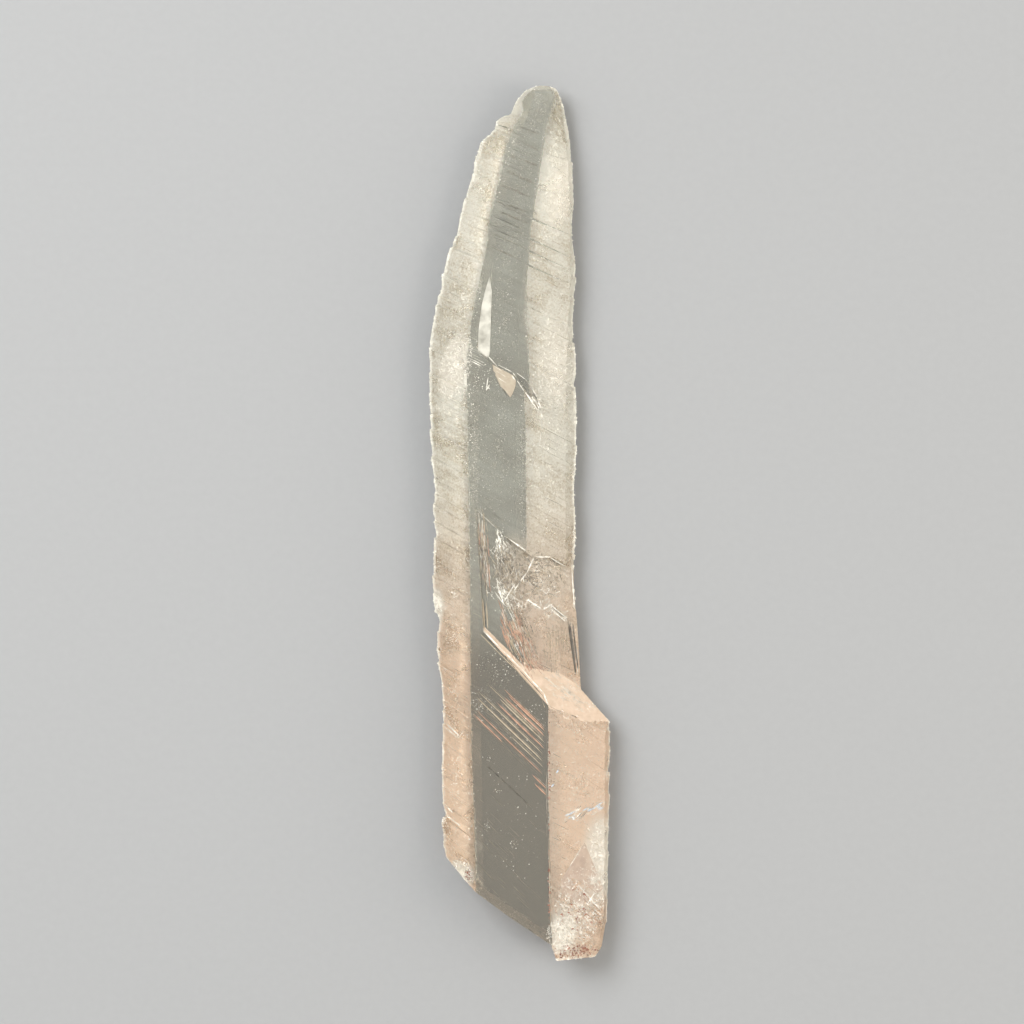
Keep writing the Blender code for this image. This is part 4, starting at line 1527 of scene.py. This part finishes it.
@dataclass
class LowerPartings:
    """The set of parallel cleavages, the dotted veil and the flecks in the lower, clear part."""

    seed: int = 55
    slope: float = -0.96
    grow: float = 0.3  # each cleavage starts this far before its first point
    widen: float = 1.45
    shadow_lift: float = 0.22  # its shadow lies this far up along Y
    # Cleavages: x and y of the upper end, x of the lower end, width.
    cream_set: Rows = (
        (-3.6, -17.2, 2.95, 0.07), (-2.2, -18.9, 2.95, 0.12), (-4.6, -18, 2.95, 0.09),
        (-4.9, -18.5, 2.95, 0.13), (-5, -18.95, 2.95, 0.18), (-8.1, -17.2, 2.95, 0.08),
        (-7.6, -18.3, 1.4, 0.08),
    )
    peach_set: Rows = (
        (-1.7, -17.9, 2.95, 0.09), (-1.2, -18.6, 2.95, 0.13), (-1.7, -18.7, 2.95, 0.16),
        (-2.6, -19.2, 2.95, 0.16), (-4.8, -20, 2.95, 0.09), (-4.9, -20.6, -1.6, 0.12),
        (1.5, -27.2, 2.95, 0.11), (1.8, -28.2, 2.95, 0.12),
    )
    line_depth: float = -0.03
    shadow_width: float = 0.11
    shadow_depth: float = -0.02
    dashes: int = 6
    first_dash: Row = (-3.5, -26.05, -2.9, -26.6, 0.12, -0.04)
    dash_step: Row = (0.75, -0.7, 0.75, -0.7)
    hairs: int = 26
    hair_area: tuple[Row, Row] = ((-5.0, 2.0), (-40.0, -29.0))  # along X and along Y
    hair_lengths: Pair = (0.5, 2.4)
    hair_way: Pair = (0.72, -0.7)
    hair_widths: Pair = (0.035, 0.07)
    hair_depth: float = 0.02
    shadows: Rows = (
        (2.85, -19, 2.9, -27, 0.12, -0.02), (2.85, -26, 2.9, -34, 0.16, -0.02),
    )
    bright: Rows = (
        (-8, -21.6, -6, -23.4, 0.14, -0.04), (-8.2, -22, -6.6, -23.2, 0.07, -0.04),
        (-8.1, -30.3, -7.1, -31.35, 0.14, -0.04), (-7.9, -31.6, -6.4, -32.6, 0.1, -0.04),
    )
    cream: Rows = (
        (-5.5, -35.5, -2.5, -38.6, 0.1, 0.02), (-4.6, -33.5, -2.6, -36, 0.06, 0.02),
        (-5.1, -31.4, -3, -33.6, 0.05, 0.02), (3.02, -18.8, 3.02, -34, 0.08, -0.02),
        (3.08, -33, 3.3, -44, 0.1, -0.02),
    )
    flecks: Rows = (
        (-2, -15.9, 2.9, 2.2, -30, 210), (-4.3, -19.6, 1.6, 1.9, -40, 150), (0.3, -21, 2.6, 2.6, -40, 160),
        (-3.2, -25.4, 0.3, 0.5, 0, 14), (-2.2, -28.7, 0.3, 0.4, 0, 12), (-3.5, -32.4, 0.35, 0.8, 0, 26),
        (-0.6, -34.4, 0.4, 0.7, 0, 26), (-1, -31, 4, 9, 0, 130), (-2.6, 10, 2.6, 22, 0, 150),
        (-5, 4, 0.6, 9, 0, 160), (0.3, 6, 0.5, 9, 0, 120),
    )
    dark_specks: Rows = (
        (-3, -17, 3.2, 2.8, -30, 120), (-4.9, 3, 0.6, 10, 0, 150), (0.3, 4, 0.5, 10, 0, 90),
        (-1.8, 1, 2.4, 3.5, 0, 60),
    )

    def cleavages(self, rows: Rows) -> list[Row]:
        """Draw parallel cleavages.

        Args:
            rows: one of the two sets.

        Returns:
            Their sheet rows.
        """
        sheets = []
        for x, y, right, width in rows:
            start, end = y - self.grow * self.slope, y + self.slope * (right - x)
            sheets.append((x - self.grow, start, right, end, width * self.widen, self.line_depth))
        return sheets

    def build(self, inside: Inside) -> None:
        """Build the lower part's features.

        Args:
            inside: places things in the crystal.
        """
        chance = random.Random(self.seed)
        hairs = []
        for _ in range(self.hairs):
            x, y = (chance.uniform(*limits) for limits in self.hair_area)
            span, width = chance.uniform(*self.hair_lengths), chance.uniform(*self.hair_widths)
            end_x, end_y = x + span * self.hair_way[0], y + span * self.hair_way[1]
            hairs.append((x, y, end_x, end_y, width, self.hair_depth))
        shadows = []
        for x, y, right, _ in self.cream_set + self.peach_set:
            top = y + self.shadow_lift
            low = top + self.slope * (right - x)
            shadows.append((x, top, right, low, self.shadow_width, self.shadow_depth))
        dashes = ladder(self.first_dash, self.dash_step, self.dashes)
        for name, finish, rows in (
            ("lower_cream_lines", CREAM, [*self.cleavages(self.cream_set), *self.cream, *hairs]),
            ("lower_peach_lines", PEACH, self.cleavages(self.peach_set)),
            ("lower_bright_lines", BRIGHT, self.bright),
            ("lower_shadows", DARK, [*shadows, *self.shadows]),
            ("lower_dashes", DEEP, dashes),
        ):
            inside.sheets(name, finish, rows)
        inside.flakes("lower_flecks", BRIGHT, self.flecks, (0.025, 0.085), (-0.06, 0.1), 56)
        inside.flakes("lower_dark_specks", SHADE_AND_DARK_SPECKS, self.dark_specks, (0.03, 0.1), (-0.04, 0.08), 57)


@dataclass
class ShoulderBlock:
    """The block under the ledge: scratches, a veil, bruised patches and a stained foot."""

    seed: int = 77
    scratches: int = 18
    scratched: Pair = (4.7, 9.2)  # along X
    scratched_from: float = -31.9  # along Y
    scratched_slope: float = 0.32
    scratched_swing: float = 0.4
    scratch_lengths: Pair = (0.4, 1.2)
    scratch_way: Pair = (0.85, 0.5)
    scratch_width: float = 0.08
    scratch_depth: float = -0.03
    glints: Rows = (
        (3.35, -28.4, 3.65, -28, 0.14, -0.03), (3.9, -26.9, 4.15, -26.5, 0.14, -0.03),
    )
    # Areas that several sets of strokes share.
    middle: Row = (6.4, -41, 2.8, 3.2, 0)
    foot: Row = (5.8, -44.2, 2.5, 2.2, 0)
    scraped: Row = (6.9, -31.1, 2.6, 0.7, 18)
    fibre_strokes: Rows = (
        (*middle, 150, 0.25, 0.9, 0.03, 0.06, -50, 18), (*middle, 80, 0.2, 0.7, 0.03, 0.055, 42, 20),
        (*foot, 170, 0.2, 0.7, 0.03, 0.07, -50, 60), (*scraped, 46, 0.25, 0.9, 0.03, 0.07, 42, 14),
    )
    edges: Rows = (
        (6.05, -38.6, 8.9, -42, 0.11, -0.05), (7.1, -41.2, 8.1, -39.7, 0.09, -0.05),
        (6.96, -34.3, 4.4, -38.4, 0.05, -0.01), (6.96, -34.3, 9.1, -39.4, 0.05, -0.01),
    )
    scrape_strokes: Rows = (
        (*scraped, 26, 0.25, 0.8, 0.03, 0.06, 42, 14),
    )
    tan_strokes: Rows = (
        (*middle, 50, 0.2, 0.8, 0.025, 0.06, -50, 24), (*foot, 30, 0.2, 0.6, 0.03, 0.06, 0, 90),
    )
    veil: Rows = (
        (6.96, -34.4), (4.4, -38.3), (4.5, -39.8), (6.5, -41.2), (9, -39.4),
    )
    bruises: Rows = (
        (8.6, -37.2, 1.3, 5.4, 0, 90), (4.6, -44.3, 1.7, 2, 0, 200), (3.08, -30, 0.1, 14, 0, 130),
        (6.5, -41.5, 2.8, 3.6, 0, 170), (6, -46, 2.2, 0.7, 0, 180), (-6.6, -37.5, 1.5, 1.4, 0, 110),
    )
    stains: Rows = (
        (5.8, -46, 2.4, 0.8, 0, 200), (3.15, -39, 0.12, 5.5, 0, 70), (-5.4, -37.9, 0.4, 1, 0, 40),
        (6.5, -42, 2.6, 2.8, 0, 90), (3.12, -27, 0.1, 7, 0, 40),
    )

    def build(self, inside: Inside) -> None:
        """Build the block's features.

        Args:
            inside: places things in the crystal.
        """
        chance = random.Random(self.seed)
        scratches = []
        for _ in range(self.scratches):
            x = chance.uniform(*self.scratched)
            y = self.scratched_from + (x - self.scratched[0]) * self.scratched_slope
            y += chance.uniform(-self.scratched_swing, self.scratched_swing)
            span = chance.uniform(*self.scratch_lengths)
            end_x, end_y = x + span * self.scratch_way[0], y + span * self.scratch_way[1]
            scratches.append((x, y, end_x, end_y, self.scratch_width, self.scratch_depth))
        inside.sheets("blue_scratches", BLUE, [*scratches, *self.glints])
        for name, finish, scattered, fixed in (
            ("block_fibres", BRIGHT, self.fibre_strokes, self.edges),
            ("block_scrapes", DARK, self.scrape_strokes, ()),
            ("block_tan_fibres", PEACH, self.tan_strokes, ()),
        ):
            inside.sheets(name, finish, [*strokes(chance, scattered), *fixed], 0.04)
        inside.plate("block_veil", VEIL, self.veil, -0.012)
        inside.flakes("block_bruises", BRIGHT, self.bruises, (0.025, 0.09), (-0.02, 0.04), 78)
        inside.flakes("foot_stain", BROWN, self.stains, (0.04, 0.17), (-0.05, 0.04), 79)


# ---------------------------------------------------------------- the studio


@dataclass
class Studio:
    """Floor, soft lights, sky and the camera that looks straight down."""

    floor_width: float = 3000.0
    floor_drop: float = 0.02  # keeps the floor clear of the back face
    view_width: float = 110.0
    camera_height: float = 420.0
    edge_height: float = 3.4  # the outline lies this far above the floor
    sensor_width: float = 36.0
    aim: Pair = (-0.83, 1.02)
    sky: str = "#FFFBF4"
    ceiling_from: float = 0.8  # the room's light changes up to this height of its unit sphere
    wall_strength: float = 1.53
    ceiling_strength: float = 0.97

    def lay_floor(self) -> None:
        """Lay the pale card under the crystal."""
        mesh = bmesh.new()
        bmesh.ops.create_grid(mesh, x_segments=2, y_segments=2, size=self.floor_width / 2)
        bmesh.ops.translate(mesh, verts=mesh.verts, vec=-UP * self.floor_drop)
        finish_mesh("studio_floor", mesh, FloorCard().make())

    def softbox(
        self, name: str, place: Sequence[float], size: Sequence[float], watts: float, colour: str
    ) -> None:
        """Hang one rectangular softbox that faces the crystal.

        Args:
            name: the light's name.
            place: where its middle hangs, in millimetres.
            size: width and height.
            watts: its power.
            colour: sRGB hex.
        """
        light = bpy.data.lights.new(name, "AREA")
        light.shape = "RECTANGLE"
        light.size, light.size_y = (side * MM for side in size)
        light.energy = watts
        light.color = linear(colour)[:3]
        lamp = bpy.data.objects.new(name, light)
        lamp.location = Vector(place) * MM
        lamp.rotation_euler = (-Vector(place)).to_track_quat("-Z", "Y").to_euler()
        bpy.context.scene.collection.objects.link(lamp)

    def light_sky(self) -> None:
        """Fill the room with even, soft light."""
        world = bpy.data.worlds.new("soft_room")
        world.use_nodes = True
        tree = world.node_tree
        background = tree.nodes["Background"]
        background.inputs["Color"].default_value = linear(self.sky)
        way = add_node(tree, "ShaderNodeTexCoord").outputs["Generated"]
        rise = add_node(tree, "ShaderNodeSeparateXYZ", {0: way}).outputs["Z"]
        strength = add_node(
            tree, "ShaderNodeMapRange", {"Value": rise},
            {
                "From Min": 0.0, "From Max": self.ceiling_from,
                "To Min": self.wall_strength, "To Max": self.ceiling_strength,
            },
        ).outputs[0]
        tree.links.new(strength, background.inputs["Strength"])
        bpy.context.scene.world = world

    def place_camera(self) -> None:
        """Hold the camera straight over the front face, with the tip at the top of the picture."""
        camera = bpy.data.cameras.new("camera")
        camera.sensor_width = self.sensor_width
        camera.lens = self.sensor_width * (self.camera_height - self.edge_height) / self.view_width
        camera.clip_start = 0.01
        holder = bpy.data.objects.new("camera", camera)
        holder.location = Vector((*self.aim, self.camera_height)) * MM
        bpy.context.scene.collection.objects.link(holder)
        bpy.context.scene.camera = holder

    def build(self) -> None:
        """Set up the whole studio."""
        self.lay_floor()
        self.light_sky()
        self.softbox("key_softbox", (-260.0, 200.0, 420.0), (300.0, 300.0), 3.2, "#FFFFFF")
        self.softbox("fill_softbox", (380.0, -60.0, 260.0), (260.0, 360.0), 1.2, "#FFF6EA")
        self.place_camera()
        bpy.context.scene.view_settings.view_transform = "Standard"


def main() -> None:
    """Build every piece and the studio."""
    logging.basicConfig(level=logging.INFO, format="%(name)s: %(message)s")
    crystal = CrystalBody().build()
    EtchGrains().build(crystal)
    LedgeSkin().build(crystal)
    inside = Inside(crystal)
    for kind in (Bloom, Specks, UpperFacets, GrowthLines, Notch, LowerPartings, ShoulderBlock):
        kind().build(inside)
    Studio().build()


if __name__ == "__main__":
    main()
